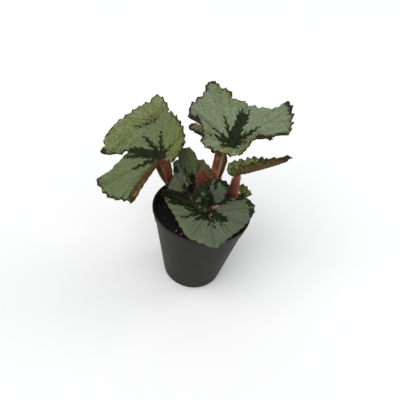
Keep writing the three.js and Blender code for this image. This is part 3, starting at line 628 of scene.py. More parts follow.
def pot_material():
    """Matt moulded plastic with faint rings, upright scuffs and a little dust."""
    g = Graph("pot_plastic", Specular_IOR_Level=0.14)
    place = g.object_place()
    cloud = g.noise(place, 28.0, 3.0)
    grain = g.noise(place, 2600.0, 2.0, 0.6)
    scuffs = g.noise(g.scaled(place, (1.0, 1.0, 0.08)), 700.0, 3.0, 0.7)
    rings = g.noise(g.scaled(place, (0.04, 0.04, 1.0)), 1500.0, 2.0, 0.6)
    colour = g.mix(g.step(cloud, 0.3, 0.7), POT_DARK, POT_PALE)
    colour = g.mix(g.step(scuffs, 0.62, 0.78, 0.0, 0.35), colour, POT_SCUFF)
    dust = g.step(g.noise(place, 420.0, 4.0, 0.75), 0.6, 0.78, 0.0, 0.3)
    colour = g.mix(dust, colour, POT_DUST)
    rough = g.math("ADD", g.step(cloud, 0.3, 0.7, 0.46, 0.56), g.step(scuffs, 0.5, 0.8, 0.0, 0.14))
    marks = g.math("ADD", grain, g.math("MULTIPLY", scuffs, 0.4))
    height = g.math("ADD", g.math("MULTIPLY", rings, 0.5), marks)
    return g.finish(colour, rough, g.bump(height, 0.00006, 0.6))


def soil_material(name="peat", dark=PEAT_DARK, brown=PEAT_BROWN):
    g = Graph(name, Specular_IOR_Level=0.25)
    place = g.object_place()
    clump = g.noise(place, 330.0, 5.0, 0.7)
    speck = g.noise(place, 1400.0, 4.0, 0.75)
    colour = g.mix(g.step(clump, 0.45, 0.72), dark, brown)
    colour = g.mix(g.step(speck, 0.62, 0.76, 0.0, 0.8), colour, PEAT_SPECK)
    grain = g.bump(g.math("ADD", clump, speck), 0.0006)
    return g.finish(colour, g.step(speck, 0.3, 0.7, 0.75, 0.95), grain)


def perlite_material():
    g = Graph("perlite", Specular_IOR_Level=0.3)
    place = g.object_place()
    colour = g.mix(g.step(g.noise(place, 900.0, 3.0), 0.35, 0.65), PERLITE_PALE, PERLITE_DIRTY)
    return g.finish(colour, 0.85, g.bump(g.noise(place, 2500.0, 3.0), 0.0003))


def scale_material():
    g = Graph("papery_scale", Specular_IOR_Level=0.3)
    place = g.object_place()
    veins = g.noise(g.scaled(place, (1.0, 1.0, 0.2)), 1600.0, 3.0)
    colour = g.mix(g.step(veins, 0.35, 0.65), PAPER_PALE, PAPER_BROWN)
    return g.finish(colour, 0.6, g.bump(veins, 0.0002))


def rhizome_material():
    g = Graph("rhizome_skin", Specular_IOR_Level=0.3)
    place = g.object_place()
    rings = g.noise(g.scaled(place, (1.0, 0.25, 0.25)), 900.0, 4.0, 0.7)
    colour = g.mix(g.step(rings, 0.35, 0.65), RHIZOME_BROWN, RHIZOME_DARK)
    return g.finish(colour, 0.65, g.bump(rings, 0.0005))


# ---------------------------------------------------------------- mesh builders


def build(name, points, faces, materials, face_material=None, attributes=None, sharp=50.0):
    """Makes a piece from points in millimetres. attributes holds a float or a vector for each point."""
    mesh = bpy.data.meshes.new(name)
    mesh.from_pydata((np.asarray(points) * MM).tolist(), [], [list(map(int, f)) for f in faces])
    for material in materials:
        mesh.materials.append(material)
    if face_material is not None:
        mesh.polygons.foreach_set("material_index", np.asarray(face_material, dtype=np.int32))
    for key, values in (attributes or {}).items():
        values = np.asarray(values, dtype=np.float32)
        kind = "FLOAT" if values.ndim == 1 else "FLOAT_VECTOR"
        layer = mesh.attributes.new(key, kind, "POINT")
        layer.data.foreach_set("value" if values.ndim == 1 else "vector", values.ravel())
    mesh.shade_smooth()
    mesh.set_sharp_from_angle(angle=math.radians(sharp))
    mesh.validate()
    piece = bpy.data.objects.new(name, mesh)
    bpy.context.scene.collection.objects.link(piece)
    return piece


def settle(piece, slot, *nodes):
    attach(piece, "root")
    if nodes:
        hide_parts(*nodes)


class Soup:
    """Points and faces gathered from several shapes, with a material index for each face."""

    def __init__(self):
        self.points = []
        self.faces = []
        self.kinds = []
        self.count = 0

    def add(self, points, faces, kind=0):
        self.points.append(np.asarray(points, dtype=float))
        self.faces.extend([tuple(i + self.count for i in face) for face in faces])
        self.kinds.extend([kind] * len(faces))
        self.count += len(points)

    def piece(self, name, materials, attributes=None, sharp=50.0):
        points = np.concatenate(self.points)
        return build(name, points, self.faces, materials, self.kinds, attributes, sharp)


def unit(v):
    v = np.asarray(v, dtype=float)
    return v / np.maximum(np.linalg.norm(v, axis=-1, keepdims=True), 1e-9)


def smoothstep(low, high, x):
    t = np.clip((x - low) / (high - low), 0, 1)
    return t * t * (3 - 2 * t)


def band(rings, sides):
    """Faces that join each closed ring of points to the next."""
    faces = []
    for k in range(rings - 1):
        for i in range(sides):
            j = (i + 1) % sides
            faces.append((k * sides + i, k * sides + j, (k + 1) * sides + j, (k + 1) * sides + i))
    return faces


def circle(radius, z, sides):
    """Points of a level ring round the pot's axis."""
    angles = [2 * math.pi * k / sides for k in range(sides)]
    return [(radius * math.cos(angle), radius * math.sin(angle), z) for angle in angles]


def hairs(soup, roots, directions, lengths, radius, kind):
    """Thin three-sided bristles, each bent once."""
    roots = np.asarray(roots, dtype=float)
    directions = unit(directions)
    side = unit(np.cross(directions, rng.normal(size=directions.shape)))
    other = np.cross(directions, side)
    bend = side * rng.normal(0, HAIR_DROOP, (len(roots), 1))
    bend = bend + other * rng.normal(0, HAIR_DROOP, (len(roots), 1))
    for root, along, a, b, lean, length in zip(roots, directions, side, other, bend, lengths):
        middle = root + along * length * 0.5
        tip = root + (along + lean) * length
        ring = []
        for centre, size in ((root - along * 0.15, radius), (middle, radius * 0.75)):
            for k in range(3):
                angle = 2 * math.pi * k / 3
                ring.append(centre + (a * math.cos(angle) + b * math.sin(angle)) * size)
        faces = [(k, (k + 1) % 3, 3 + (k + 1) % 3, 3 + k) for k in range(3)]
        faces += [(3 + k, 3 + (k + 1) % 3, 6) for k in range(3)]
        faces.append((2, 1, 0))
        soup.add(ring + [tip], faces, kind)


# ---------------------------------------------------------------- leaf blades


def draw(n):
    """A repeatable draw in 0..1 from a whole number."""
    value = np.sin(n * 127.1 + 11.7) * 43758.5453
    return value - np.floor(value)


def leaf_axes(leaf):
    heading, pitch, roll = np.radians(leaf["turn"])
    ahead = (math.cos(heading) * math.cos(pitch), math.sin(heading) * math.cos(pitch), math.sin(pitch))
    along = np.array(ahead)
    level = np.array([-math.sin(heading), math.cos(heading), 0.0])
    upright = np.cross(along, level)
    across = level * math.cos(roll) + upright * math.sin(roll)
    return along, across, upright * math.cos(roll) - level * math.sin(roll)


def margin_rows(leaf, t):
    """Margin rows at places t between the leaf's own rows, on a smooth curve through them."""
    rows = np.array(leaf["margin"], dtype=float)
    last = len(rows) - 1
    i = np.minimum(t.astype(int), last - 1)
    u = (t - i)[:, None]
    p1, p2 = rows[i], rows[i + 1]
    p0 = np.where((i > 0)[:, None], rows[np.maximum(i - 1, 0)], 2 * p1 - p2)
    p3 = np.where((i < last - 1)[:, None], rows[np.minimum(i + 2, last)], 2 * p2 - p1)
    linear = p2 - p0
    square = 2 * p0 - 5 * p1 + 4 * p2 - p3
    cube = 3 * p1 - p0 - 3 * p2 + p3
    return p1 + 0.5 * u * (linear + u * (square + u * cube))


def ribs(leaf, rows, steps):
    """Points along each rib: an array of ribs by steps + 1 by 3."""
    along, across, normal = leaf_axes(leaf)
    angle = np.radians(rows[:, :1])
    outward = along * np.cos(angle) + across * np.sin(angle)
    s = (np.arange(steps) + 0.5) / steps
    curled = np.clip((s - CURL_FROM) / (1 - CURL_FROM), 0, None)
    slope = np.radians(rows[:, 2:3] + rows[:, 3:4] * s + rows[:, 4:5] * curled)
    step = rows[:, 1:2] / steps
    moves = outward[:, None, :] * (step * np.cos(slope))[..., None]
    moves = moves + normal * (step * np.sin(slope))[..., None]
    start = np.tile(np.array(leaf["at"], dtype=float), (len(rows), 1, 1))
    return np.concatenate([start, start + np.cumsum(moves, axis=1)], axis=1)


def tooth_places(leaf):
    """Places along the margin, evenly spaced in true length: one for each tooth's foot and tip."""
    substeps = 8
    t = np.arange((len(leaf["margin"]) - 1) * substeps + 1) / substeps
    tips = ribs(leaf, margin_rows(leaf, t), 20)[:, -1]
    run = np.concatenate([[0], np.cumsum(np.linalg.norm(np.diff(tips, axis=0), axis=1))])
    count = 2 * round(run[-1] / leaf["tooth"][0] / 2)
    return np.interp(np.linspace(0, run[-1], count + 1), run, t), run[-1]


def toothed_rows(leaf, upright):
    """Fine margin rows whose lengths carry large teeth and, on each flank, smaller ones."""
    places, total = tooth_places(leaf)
    count = len(places) - 1
    fine = max(4, round(total / count / RIB_SPACING))
    k = np.arange(count * fine + 1) / fine
    n = np.minimum(k.astype(int), count - 1)
    u = k - n
    rows = margin_rows(leaf, np.interp(k, np.arange(count + 1), places))
    depth = leaf["tooth"][1]
    offset = depth * (0.5 + draw(np.arange(count + 1))) * np.where(np.arange(count + 1) % 2, 0.5, -0.5)
    toward_tip = n % 2 == 0
    share = np.where(toward_tip, u ** 1.5, 1 - (1 - u) ** 1.5)
    tooth = offset[n] + (offset[n + 1] - offset[n]) * share
    tooth += 0.16 * depth * np.sin(k * math.pi * 3.3) * draw(n + 50)
    rows[:, 1] += np.maximum(-0.2 * rows[:, 1], tooth)
    rows[:, 2] += np.degrees(upright * tooth / rows[:, 1])
    return rows, k * total / count


def polyline_distance(points, segments):
    """Distance from each flat point to the nearest of the segments (start x, y, end x, y)."""
    start, end = segments[:, :2], segments[:, 2:]
    span = end - start
    square = np.maximum((span ** 2).sum(axis=1), 1e-9)
    nearest = np.full(len(points), 99.0)
    for low in range(0, len(points), 8000):
        part = points[low:low + 8000, None, :]
        t = np.clip(((part - start) * span).sum(axis=2) / square, 0, 1)
        gap = np.linalg.norm(part - start - t[..., None] * span, axis=2)
        nearest[low:low + 8000] = gap.min(axis=1)
    return nearest


def polar(angle, distance):
    a = math.radians(angle)
    return np.array([math.cos(a), math.sin(a)]) * distance


def vein_segments(veins):
    """Main veins out from the joint, and side veins that leave them in turn and bend outward."""
    main, side = [], []
    angles = [angle for angle, _ in veins]
    for i, (angle, length) in enumerate(veins):
        main.append([0, 0, *polar(angle, length * 1.05)])
        spread = [abs(angle - angles[j]) / 2 for j in (i - 1, i + 1) if 0 <= j < len(veins)]
        half = math.radians(min(min(spread, default=30), 45))
        offshoots = max(3, int(length / 2.6))
        for k in range(offshoots):
            start = length * (0.14 + 0.8 * k / offshoots)
            turn = 1 if (k + i) % 2 else -1
            lean = math.radians(40)
            reach = (length - start) * 0.75 + 2
            if half < lean - 0.05:
                reach = min(reach, start * math.sin(half) / math.sin(lean - half))
            point = polar(angle, start)
            for bend in (42, 34, 27):
                ahead = point + polar(angle + turn * bend, reach / 3)
                side.append([*point, *ahead])
                point = ahead
    return np.array(main), np.array(side)


def streak_depth(points, streaks):
    """How far inside the nearest dark wedge each flat point lies, negative outside."""
    depth = np.full(len(points), -9.0)
    for angle, start, end, w0, w1 in streaks:
        a, b = polar(angle, start), polar(angle, end)
        span = b - a
        t = np.clip(((points - a) @ span) / max(span @ span, 1e-9), 0, 1)
        gap = np.linalg.norm(points - a - t[:, None] * span, axis=1)
        depth = np.maximum(depth, w0 + (w1 - w0) * t - gap)
    return depth


def patches(points, spots):
    """Base amount plus soft round spots, for each flat point."""
    base, marks = spots
    value = np.full(len(points), float(base))
    for angle, distance, radius, amount in marks:
        gap = np.linalg.norm(points - polar(angle, distance), axis=1)
        value += amount * np.exp(-((gap / radius) ** 2))
    return np.clip(value, 0, 1)


def rim_distance(flat, margin):
    """Distance from each flat point to the nearest point of the margin."""
    tree = kdtree.KDTree(len(margin))
    for i, p in enumerate(margin):
        tree.insert((p[0], p[1], 0), i)
    tree.balance()
    return np.array([tree.find((p[0], p[1], 0))[2] for p in flat])


def grid_normals(grid):
    """Normals of a fan grid of ribs by rings."""
    radial = np.gradient(grid, axis=1)
    around = np.gradient(grid, axis=0)
    around[:, 0] = around[:, 1]
    normals = unit(np.cross(radial, around))
    normals[:, 0] = unit(normals[:, 1].sum(axis=0))
    return normals


def blade_grid(leaf, rows, s, frill):
    """Points of the bare blade, ribs by rings, with the scallops of its last rib."""
    grid = ribs(leaf, rows, len(s) - 1)
    scallops = frill * (np.abs(np.sin(s * 17 + np.sin(s * 23))) - 0.3) * smoothstep(0, 0.2, s)
    near_end = smoothstep(0.955, 1, np.arange(len(rows)) / (len(rows) - 1))
    return grid + near_end[:, None, None] * (unit(grid[-1] - grid[-12]) * scallops[:, None])


def mark_fields(flat, paint):
    """Distances to main veins, side veins and margin, and the depth inside the dark star."""
    points = flat.reshape(-1, 2)
    main, side = vein_segments(paint["veins"])
    vein = polyline_distance(points, main)
    twig = polyline_distance(points, side)
    rim = rim_distance(points, flat[:, -1])
    dark = streak_depth(points, paint["streaks"])
    dark = np.minimum(dark, -streak_depth(points, paint.get("lights", [])))
    feather = paint.get("feather", 1.7)
    dark = dark + feather * np.exp(-((twig / 0.5) ** 2)) * smoothstep(-3.0, -0.3, dark)
    return [field.reshape(flat.shape[:2]) for field in (vein, twig, rim, dark)]


def ruffle(paint, s, run):
    """Height of the margin's waves, for each rib and ring."""
    along_rim = run[:, None]
    long_height, short_height = paint["ruffle"]
    wave = long_height * s ** 4 * np.sin(along_rim * 2 * math.pi / LONG_WAVE + 2 * np.sin(along_rim / 9))
    wave += short_height * s ** 9 * np.sin(along_rim * 2 * math.pi / SHORT_WAVE + 3 * np.sin(along_rim / 5))
    return wave


def blade_faces(grid, s, reach, wave, up, vein, twig, rim):
    """Points of the upper and the lower face, and the normals of the bare blade."""
    blister = 1 - np.exp(-((twig / 0.9) ** 2))
    furrow = np.exp(-((vein / (0.75 - 0.35 * s)) ** 2))
    inner = smoothstep(0.0, 2.5, reach)
    pillow = PILLOW * smoothstep(0, 5, vein) * smoothstep(0, 3, rim)
    lift = (BLISTER * blister - 0.25 * furrow) * inner * smoothstep(0, 1.2, rim) + pillow + wave
    ridge = (0.5 * furrow * (1 - 0.6 * s) + 0.14 * (1 - blister)) * inner * smoothstep(0, 1.0, rim)
    normals = grid_normals(grid)
    through = unit(up + (normals - up) * smoothstep(3, 8, reach)[..., None])
    thickness = EDGE_THICKNESS + (BLADE_THICKNESS - EDGE_THICKNESS) * smoothstep(0, 1.5, rim)
    face = grid + normals * lift[..., None]
    back = grid + normals * lift[..., None] - through * (thickness + ridge)[..., None]
    return face, back, normals


def add_shell(soup, face, back):
    """Upper side of kind 0, and of kind 1 the lower side and the skirt that joins them."""
    count, width = face.shape[:2]
    size = count * width
    index = np.arange(size).reshape(count, width)
    a, b = index[:-1, :-1], index[1:, :-1]
    c, d = index[1:, 1:], index[:-1, 1:]
    quads = np.stack([a, d, c, b], axis=-1)
    cap = quads[:, 0][:, [0, 1, 2]]
    body = quads[:, 1:].reshape(-1, 4)
    soup.add(face.reshape(-1, 3), [*cap, *body], 0)
    soup.add(back.reshape(-1, 3), [*cap[:, ::-1], *body[:, ::-1]], 1)
    skirt = []
    for edge in (index[:, -1], index[0], index[-1][::-1]):
        skirt += [(m, m + size, n + size, n) for m, n in zip(edge, edge[1:])]
    soup.faces.extend(skirt)
    soup.kinds.extend([1] * len(skirt))


def edge_hairs(soup, grid):
    """One bristle on every second rib's end."""
    tips = np.arange(2, len(grid) - 2, 2)
    outward = unit(grid[tips, -1] - grid[tips, -3])
    lean = unit(outward + 0.5 * rng.normal(size=outward.shape))
    lengths = rng.uniform(0.35, 1.0, len(tips))
    hairs(soup, grid[tips, -1] - outward * 0.1, lean, lengths, BLADE_HAIR, 2)


def under_hairs(soup, back, normals, vein):
    """Bristles on the underside, thickest along the main veins."""
    ribs_n, rings_n = vein.shape
    wanted = int(ribs_n * 0.9)
    i = rng.integers(1, ribs_n - 1, wanted)
    j = rng.integers(2, rings_n, wanted)
    near = rng.random(wanted) < np.exp(-((vein[i, j] / 1.2) ** 2)) + 0.15
    i, j = i[near], j[near]
    directions = -normals[i, j] + 0.6 * rng.normal(size=(len(i), 3))
    hairs(soup, back[i, j], directions, rng.uniform(0.4, 1.1, len(i)), BLADE_HAIR, 2)


def padded(soup, values):
    """Values for a piece's first points, and zeros for the bristles gathered after them."""
    values = np.asarray(values, dtype=float)
    return np.concatenate([values, np.zeros((soup.count - len(values), *values.shape[1:]))])


def blade(name, leaf, paint, top, under, bristle):
    """Thin toothed blade with sunken veins, a ruffled margin and bristles."""
    rows, run = toothed_rows(leaf, paint.get("upright", 0.0))
    s = np.linspace(0, 1, int(max(rows[:, 1]) / RING_SPACING) + 1)
    grid = blade_grid(leaf, rows, s, paint.get("frill", 0.0))
    angle = np.radians(rows[:, :1])
    reach = rows[:, 1:2] * s
    flat = np.stack([reach * np.cos(angle), reach * np.sin(angle)], axis=-1)
    vein, twig, rim, dark = mark_fields(flat, paint)
    wave = ruffle(paint, s, run)
    face, back, normals = blade_faces(grid, s, reach, wave, leaf_axes(leaf)[2], vein, twig, rim)

    soup = Soup()
    add_shell(soup, face, back)
    edge_hairs(soup, grid)
    under_hairs(soup, back, normals, vein)

    draws = np.full(reach.shape, draw(len(name)) * 40)
    fan = np.stack([np.broadcast_to(angle * 9, reach.shape), reach * 0.16, draws], axis=-1)
    fields = {"vein": vein, "twig": twig, "rim": rim / paint["rim"], "dark": dark, "fan": fan}
    for key in ("green", "warm", "rust", "plum"):
        fields[key] = patches(flat.reshape(-1, 2), paint.get(key, NO_SPOTS)).reshape(reach.shape)
    attributes = {}
    for key, field in fields.items():
        one_side = field.reshape(reach.size, *field.shape[2:])
        attributes[key] = padded(soup, np.concatenate([one_side, one_side]))
    return soup.piece(name, [top, under, bristle], attributes)


# ---------------------------------------------------------------- stalks, rhizome and young leaf


def blend_pairs(level, knots, reach, t):
    """Each neighbouring pair of points, blended at t between two knots that lie reach apart."""
    blended = []
    for k, (a, b) in enumerate(zip(level, level[1:])):
        low, high = knots[k], knots[k + reach]
        blended.append((high - t) / (high - low) * a + (t - low) / (high - low) * b)
    return blended


def centripetal(points, samples):
    """Centripetal Catmull-Rom curve through the points, evenly resampled."""
    p = [np.array(q, dtype=float) for q in points]
    p = [2 * p[0] - p[1], *p, 2 * p[-1] - p[-2]]
    knots = [0.0]
    for before, after in zip(p, p[1:]):
        knots.append(knots[-1] + math.sqrt(np.linalg.norm(after - before)))
    fine = []
    for i in range(1, len(p) - 2):
        for t in np.linspace(knots[i], knots[i + 1], 24, endpoint=i == len(p) - 3):
            level = p[i - 1:i + 3]
            for first, reach in ((i - 1, 1), (i - 1, 2), (i, 1)):
                level = blend_pairs(level, knots[first:], reach, t)
            fine.append(level[0])
    fine = np.array(fine)
    run = np.concatenate([[0], np.cumsum(np.linalg.norm(np.diff(fine, axis=0), axis=1))])
    even = np.linspace(0, run[-1], samples)
    return np.stack([np.interp(even, run, fine[:, k]) for k in range(3)], axis=1), run[-1]


def frames_along(path):
    """Two unit vectors square to the path at each point, with no twist from one to the next."""
    tangent = unit(np.gradient(path, axis=0))
    a = unit(np.cross(tangent[0], (0.3, 1.0, 0.1)))
    first = []
    for t in tangent:
        a = unit(a - t * (a @ t))
        first.append(a)
    first = np.array(first)
    return first, np.cross(tangent, first), tangent


def tube(soup, path, radius, sides, kind=0):
    """Closed tube round the path. radius is an array of stations by sides."""
    a, b, _ = frames_along(path)
    angle = np.arange(sides) * 2 * math.pi / sides
    ring = a[:, None] * np.cos(angle)[:, None] + b[:, None] * np.sin(angle)[:, None]
    points = path[:, None] + ring * radius[..., None]
    stations = len(path)
    faces = band(stations, sides)
    faces.append(tuple(range(sides))[::-1])
    faces.append(tuple((stations - 1) * sides + i for i in range(sides)))
    soup.add(points.reshape(-1, 3), faces, kind)
    return ring, points


def limb(points, radii, stations, sides):
    """Smooth path, its length, and the share of it, the angle and the radius of its surface points."""
    path, length = centripetal(points, stations)
    share = np.linspace(0, 1, stations)[:, None]
    angle = np.arange(sides)[None] * 2 * math.pi / sides
    radius = np.interp(share * (len(radii) - 1), np.arange(len(radii)), radii)
    return path, length, share, angle, radius


def seat(points, leaf, radius):
    """Tube points with the end squeezed and cut off level, just under the blade's face."""
    normal = leaf_axes(leaf)[2]
    away = points - np.array(leaf["at"])
    sideways = away - normal * (away @ normal)[..., None]
    spread = np.linalg.norm(sideways, axis=-1)
    above = away @ normal + SINK + 0.15 * spread
    squeeze = (1 - 1 / np.maximum(spread / (0.85 * radius), 1)) * smoothstep(-2.0, -0.2, above)
    return points - normal * np.maximum(above, 0)[..., None] - sideways * squeeze[..., None]


def skin_attributes(soup, run, highlight, *place):
    """Attributes of a limb's skin: place is the angle, the distance along it and its length."""
    shape = highlight.shape
    skin = np.stack([np.broadcast_to(part, shape) for part in place], axis=-1)
    return {
        "run": padded(soup, np.broadcast_to(run, shape).ravel()),
        "highlight": padded(soup, highlight.ravel()),
        "skin": padded(soup, skin.reshape(-1, 3)),
    }


def stalk(name, leaf, skin, bristle, hairiness):
    """Bristly stalk from the creeping stem to its blade. hairiness is bristles per square millimetre."""
    sides = 20
    radii = leaf["stalk_radii"]
    path, length, share, angle, radius = limb([*leaf["stalk"], leaf["at"]], radii, 60, sides)
    foot = 0.06 * np.exp(-share * length / 2.5)
    radius = radius * (1 + foot - 0.2 * smoothstep(1 - 3.2 / length, 1, share))
    bumps = 0.035 * np.cos(4 * angle + 3 * share)
    radius = radius * (1 + bumps + 0.02 * np.sin(share * length * 0.9 + 2 * angle))
    soup = Soup()
    ring, points = tube(soup, path, radius, sides)
    points = seat(points, leaf, radii[-1])
    soup.points[0] = points.reshape(-1, 3)
    number = int(hairiness * length * 2 * math.pi * radii[0])
    i = rng.integers(2, len(path) - 2, number)
    j = rng.integers(0, sides, number)
    directions = ring[i, j] + 0.35 * rng.normal(size=(number, 3)) + np.array([0, 0, 0.25])
    hairs(soup, points[i, j], directions, rng.uniform(0.5, 1.5, number), STALK_HAIR, 1)
    # painted highlight: the side of each stalk that faces the light, the same way round on every stalk
    highlight = smoothstep(0.5, 0.85, ring @ np.array(HIGHLIGHT_SIDE))
    attributes = skin_attributes(soup, share, highlight, angle, share * length, length)
    return soup.piece(name, [skin, bristle], attributes)


def young_leaf(skin, bristle):
    """Pleated, tightly folded leaf on its own short stalk, covered in red bristles."""
    sides = 30
    path, length, share, angle, radius = limb(BUD, BUD_RADII, 60, sides)
    pleat = smoothstep(0.3, 0.6, share)
    radius = radius * (0.94 + pleat * (0.14 * np.abs(np.sin(3.5 * angle + 4 * share)) - 0.08))
    soup = Soup()
    ring, points = tube(soup, path, radius, sides)
    last = len(path) - 3
    i = np.minimum(last * rng.random(BUD_HAIRS) ** 0.6, last).astype(int) + 1
    j = rng.integers(0, sides, BUD_HAIRS)
    tangent = frames_along(path)[2]
    directions = ring[i, j] + 0.35 * tangent[i] + 0.3 * rng.normal(size=(BUD_HAIRS, 3))
    hairs(soup, points[i, j], directions, rng.uniform(0.8, 2.3, BUD_HAIRS), BUD_HAIR, 1)
    no_highlight = np.zeros(radius.shape)
    attributes = skin_attributes(soup, share + 0.2, no_highlight, angle, share * length, 0)
    return soup.piece("young_leaf", [skin, bristle], attributes)


def rhizome(skin):
    """Thick creeping stem, ringed with the scars of old leaves."""
    sides = 28
    path, length, share, angle, radius = limb(RHIZOME, RHIZOME_RADII, 90, sides)
    scars = 0.05 * np.abs(np.sin(share * length * 0.75)) + 0.04 * np.sin(3 * angle + 5 * share)
    soup = Soup()
    tube(soup, path, radius * (0.95 + scars), sides)
    return soup.piece("creeping_stem", [skin])


def flake(soup, base, up, out, length, width, kind):
    """Small papery scale, cupped and pointed, standing on base."""
    up, out = unit(up), unit(out)
    side = unit(np.cross(up, out))
    steps, across = 6, 5
    rows = []
    for offset in (0.0, 0.12):
        for k in range(steps + 1):
            t = k / steps
            half = width / 2 * math.sin(math.pi * min(0.98, 0.28 + 0.72 * t)) ** 0.8
            for m in range(across):
                v = 2 * m / (across - 1) - 1
                cup = 0.35 * width * v * v
                curl = 0.3 * length * t * t
                rows.append(base + up * length * t + side * half * v - out * (cup - curl + offset))
    size = (steps + 1) * across
    faces = []
    for k in range(steps):
        for m in range(across - 1):
            a = k * across + m
            faces.append((a, a + 1, a + across + 1, a + across))
            faces.append((size + a, size + a + across, size + a + across + 1, size + a + 1))
    border = list(range(across))
    border += [k * across + across - 1 for k in range(1, steps + 1)]
    border += [steps * across + m for m in range(across - 2, -1, -1)]
    border += [k * across for k in range(steps - 1, 0, -1)]
    for a, b in zip(border, border[1:] + border[:1]):
        faces.append((b, a, size + a, size + b))
    soup.add(rows, faces, kind)


def papery_scales(dry, fresh):
    """Torn papery scales round the foot of the front leaf's stalk, a few of them still red."""
    foot = np.array([3.4, -6.5, 59.5])
    root_level = 61.2
    tips = [
        ((3.9, -10.1, 62.8), 1.3, 1), ((6.0, -7.8, 63.4), 1.5, 0), ((8.4, -8.3, 63.0), 1.6, 0),
        ((6.0, -11.0, 62.8), 1.5, 0), ((4.6, -14.2, 62.4), 1.3, 1), ((6.2, -15.8, 62.2), 1.3, 0),
        ((5.2, -17.8, 61.9), 1.0, 0), ((8.0, -10.5, 62.6), 1.3, 1), ((9.9, -6.5, 62.8), 1.4, 0),
        ((7.2, -9.3, 63.6), 1.2, 0), ((4.8, -12.3, 63.0), 1.2, 0),
    ]
    soup = Soup()
    for n, (tip, width, kind) in enumerate(tips):
        start = foot + (np.array(tip) - foot) * (0.45, 0.6, 0.1)
        start[2] = root_level
        lift = np.array(tip) - start
        out = (math.sin(n * 2.4), -0.6, 0.9)
        flake(soup, start, lift, out, np.linalg.norm(lift), width, kind)
    return soup.piece("papery_scales", [dry, fresh])


# ---------------------------------------------------------------- pot and soil


def wall_radius(z):
    return FOOT_RADIUS + (RIM_RADIUS - COLLAR_STEP - FOOT_RADIUS) * z / POT_HEIGHT


def rounded(profile, corners):
    """Profile with each named corner replaced by a short arc of the given size."""
    result = []
    for i, (x, z) in enumerate(profile):
        size = corners.get(i, 0)
        if not size:
            result.append((x, z))
            continue
        p = np.array([x, z])
        before = np.array(profile[i - 1]) - p
        after = np.array(profile[i + 1]) - p
        a = p + before / np.linalg.norm(before) * size
        b = p + after / np.linalg.norm(after) * size
        for t in np.linspace(0, 1, 6):
            result.append(tuple((1 - t) ** 2 * a + 2 * t * (1 - t) * p + t * t * b))
    return result


def pot_profile():
    """Points (radius, height) round the pot's wall, from the middle of its base to the middle inside."""
    collar_foot = POT_HEIGHT - COLLAR_HEIGHT
    profile = [
        (0, 0),
        (FOOT_RADIUS, 0),
        (wall_radius(2.4), 2.4),
        (wall_radius(2.4) + 0.12, 2.5),
        (wall_radius(collar_foot), collar_foot),
        (wall_radius(collar_foot) + COLLAR_STEP, collar_foot + 0.5),
        (RIM_RADIUS, POT_HEIGHT),
        (RIM_RADIUS - WALL, POT_HEIGHT),
        (wall_radius(collar_foot - 2) - WALL, collar_foot - 2),
        (wall_radius(POT_FLOOR) - WALL, POT_FLOOR),
        (0, POT_FLOOR),
    ]
    profile = rounded(profile, {1: 0.7, 4: 0.25, 5: 0.3, 6: 0.45, 7: 0.45, 9: 0.6})
    dense = []
    for (r0, z0), (r1, z1) in zip(profile, profile[1:]):
        pieces = max(1, int(math.hypot(r1 - r0, z1 - z0) / 2.5))
        dense += [(r0 + (r1 - r0) * k / pieces, z0 + (z1 - z0) * k / pieces) for k in range(pieces)]
    return [*dense, profile[-1]]


def pot(material):
    """Tapered pot with a stepped collar, turned from its profile, with drain holes in its floor."""
    dense = pot_profile()
    segments = 144
    points = []
    for r, z in dense[1:-1]:
        points += circle(r, z, segments)
    rings = len(dense) - 2
    faces = band(rings, segments)
    bottom = len(points)
    points += [(0, 0, dense[0][1]), (0, 0, dense[-1][1])]
    for k in range(segments):
        n = (k + 1) % segments
        top = (rings - 1) * segments
        faces.append((bottom, n, k))
        faces.append((bottom + 1, top + k, top + n))
    piece = build("nursery_pot", points, faces, [material], sharp=40)
    cut_drain_holes(piece)
    return piece


def cut_drain_holes(piece):
    """Cuts a circle of round holes through the pot's floor."""
    sides = 40
    soup = Soup()
    for n in range(DRAIN_HOLES):
        around = (n + 0.5) / DRAIN_HOLES * 2 * math.pi
        centre = np.array([DRAIN_CIRCLE_RADIUS * math.cos(around), DRAIN_CIRCLE_RADIUS * math.sin(around), 0])
        path = centre + np.array([[0, 0, -2.0], [0, 0, 4.0]])
        tube(soup, path, np.full((2, sides), DRAIN_HOLE_RADIUS), sides)
    cutter = soup.piece("drain_cutter", [])
    modifier = piece.modifiers.new("holes", "BOOLEAN")
    modifier.operation = "DIFFERENCE"
    modifier.object = cutter
    modifier.solver = "EXACT"
    depsgraph = bpy.context.evaluated_depsgraph_get()
    mesh = bpy.data.meshes.new_from_object(piece.evaluated_get(depsgraph))
    piece.modifiers.clear()
    piece.data = mesh
    mesh.set_sharp_from_angle(angle=math.radians(40))
    bpy.data.objects.remove(cutter)


def soil_height(x, y):
    coarse = math.sin(x * 0.31 + 1.3) * math.cos(y * 0.27 - 0.6)
    fine = math.sin(x * 1.13 + y * 0.71) * math.sin(y * 1.37 - x * 0.52 + 2)
    rough = noise.fractal(Vector((x * 0.55, y * 0.55, 4.0)), 0.9, 2.1, 5)
    return SOIL_LEVEL + SOIL_BUMP * (0.6 * coarse + 0.5 * fine) + 0.55 * rough


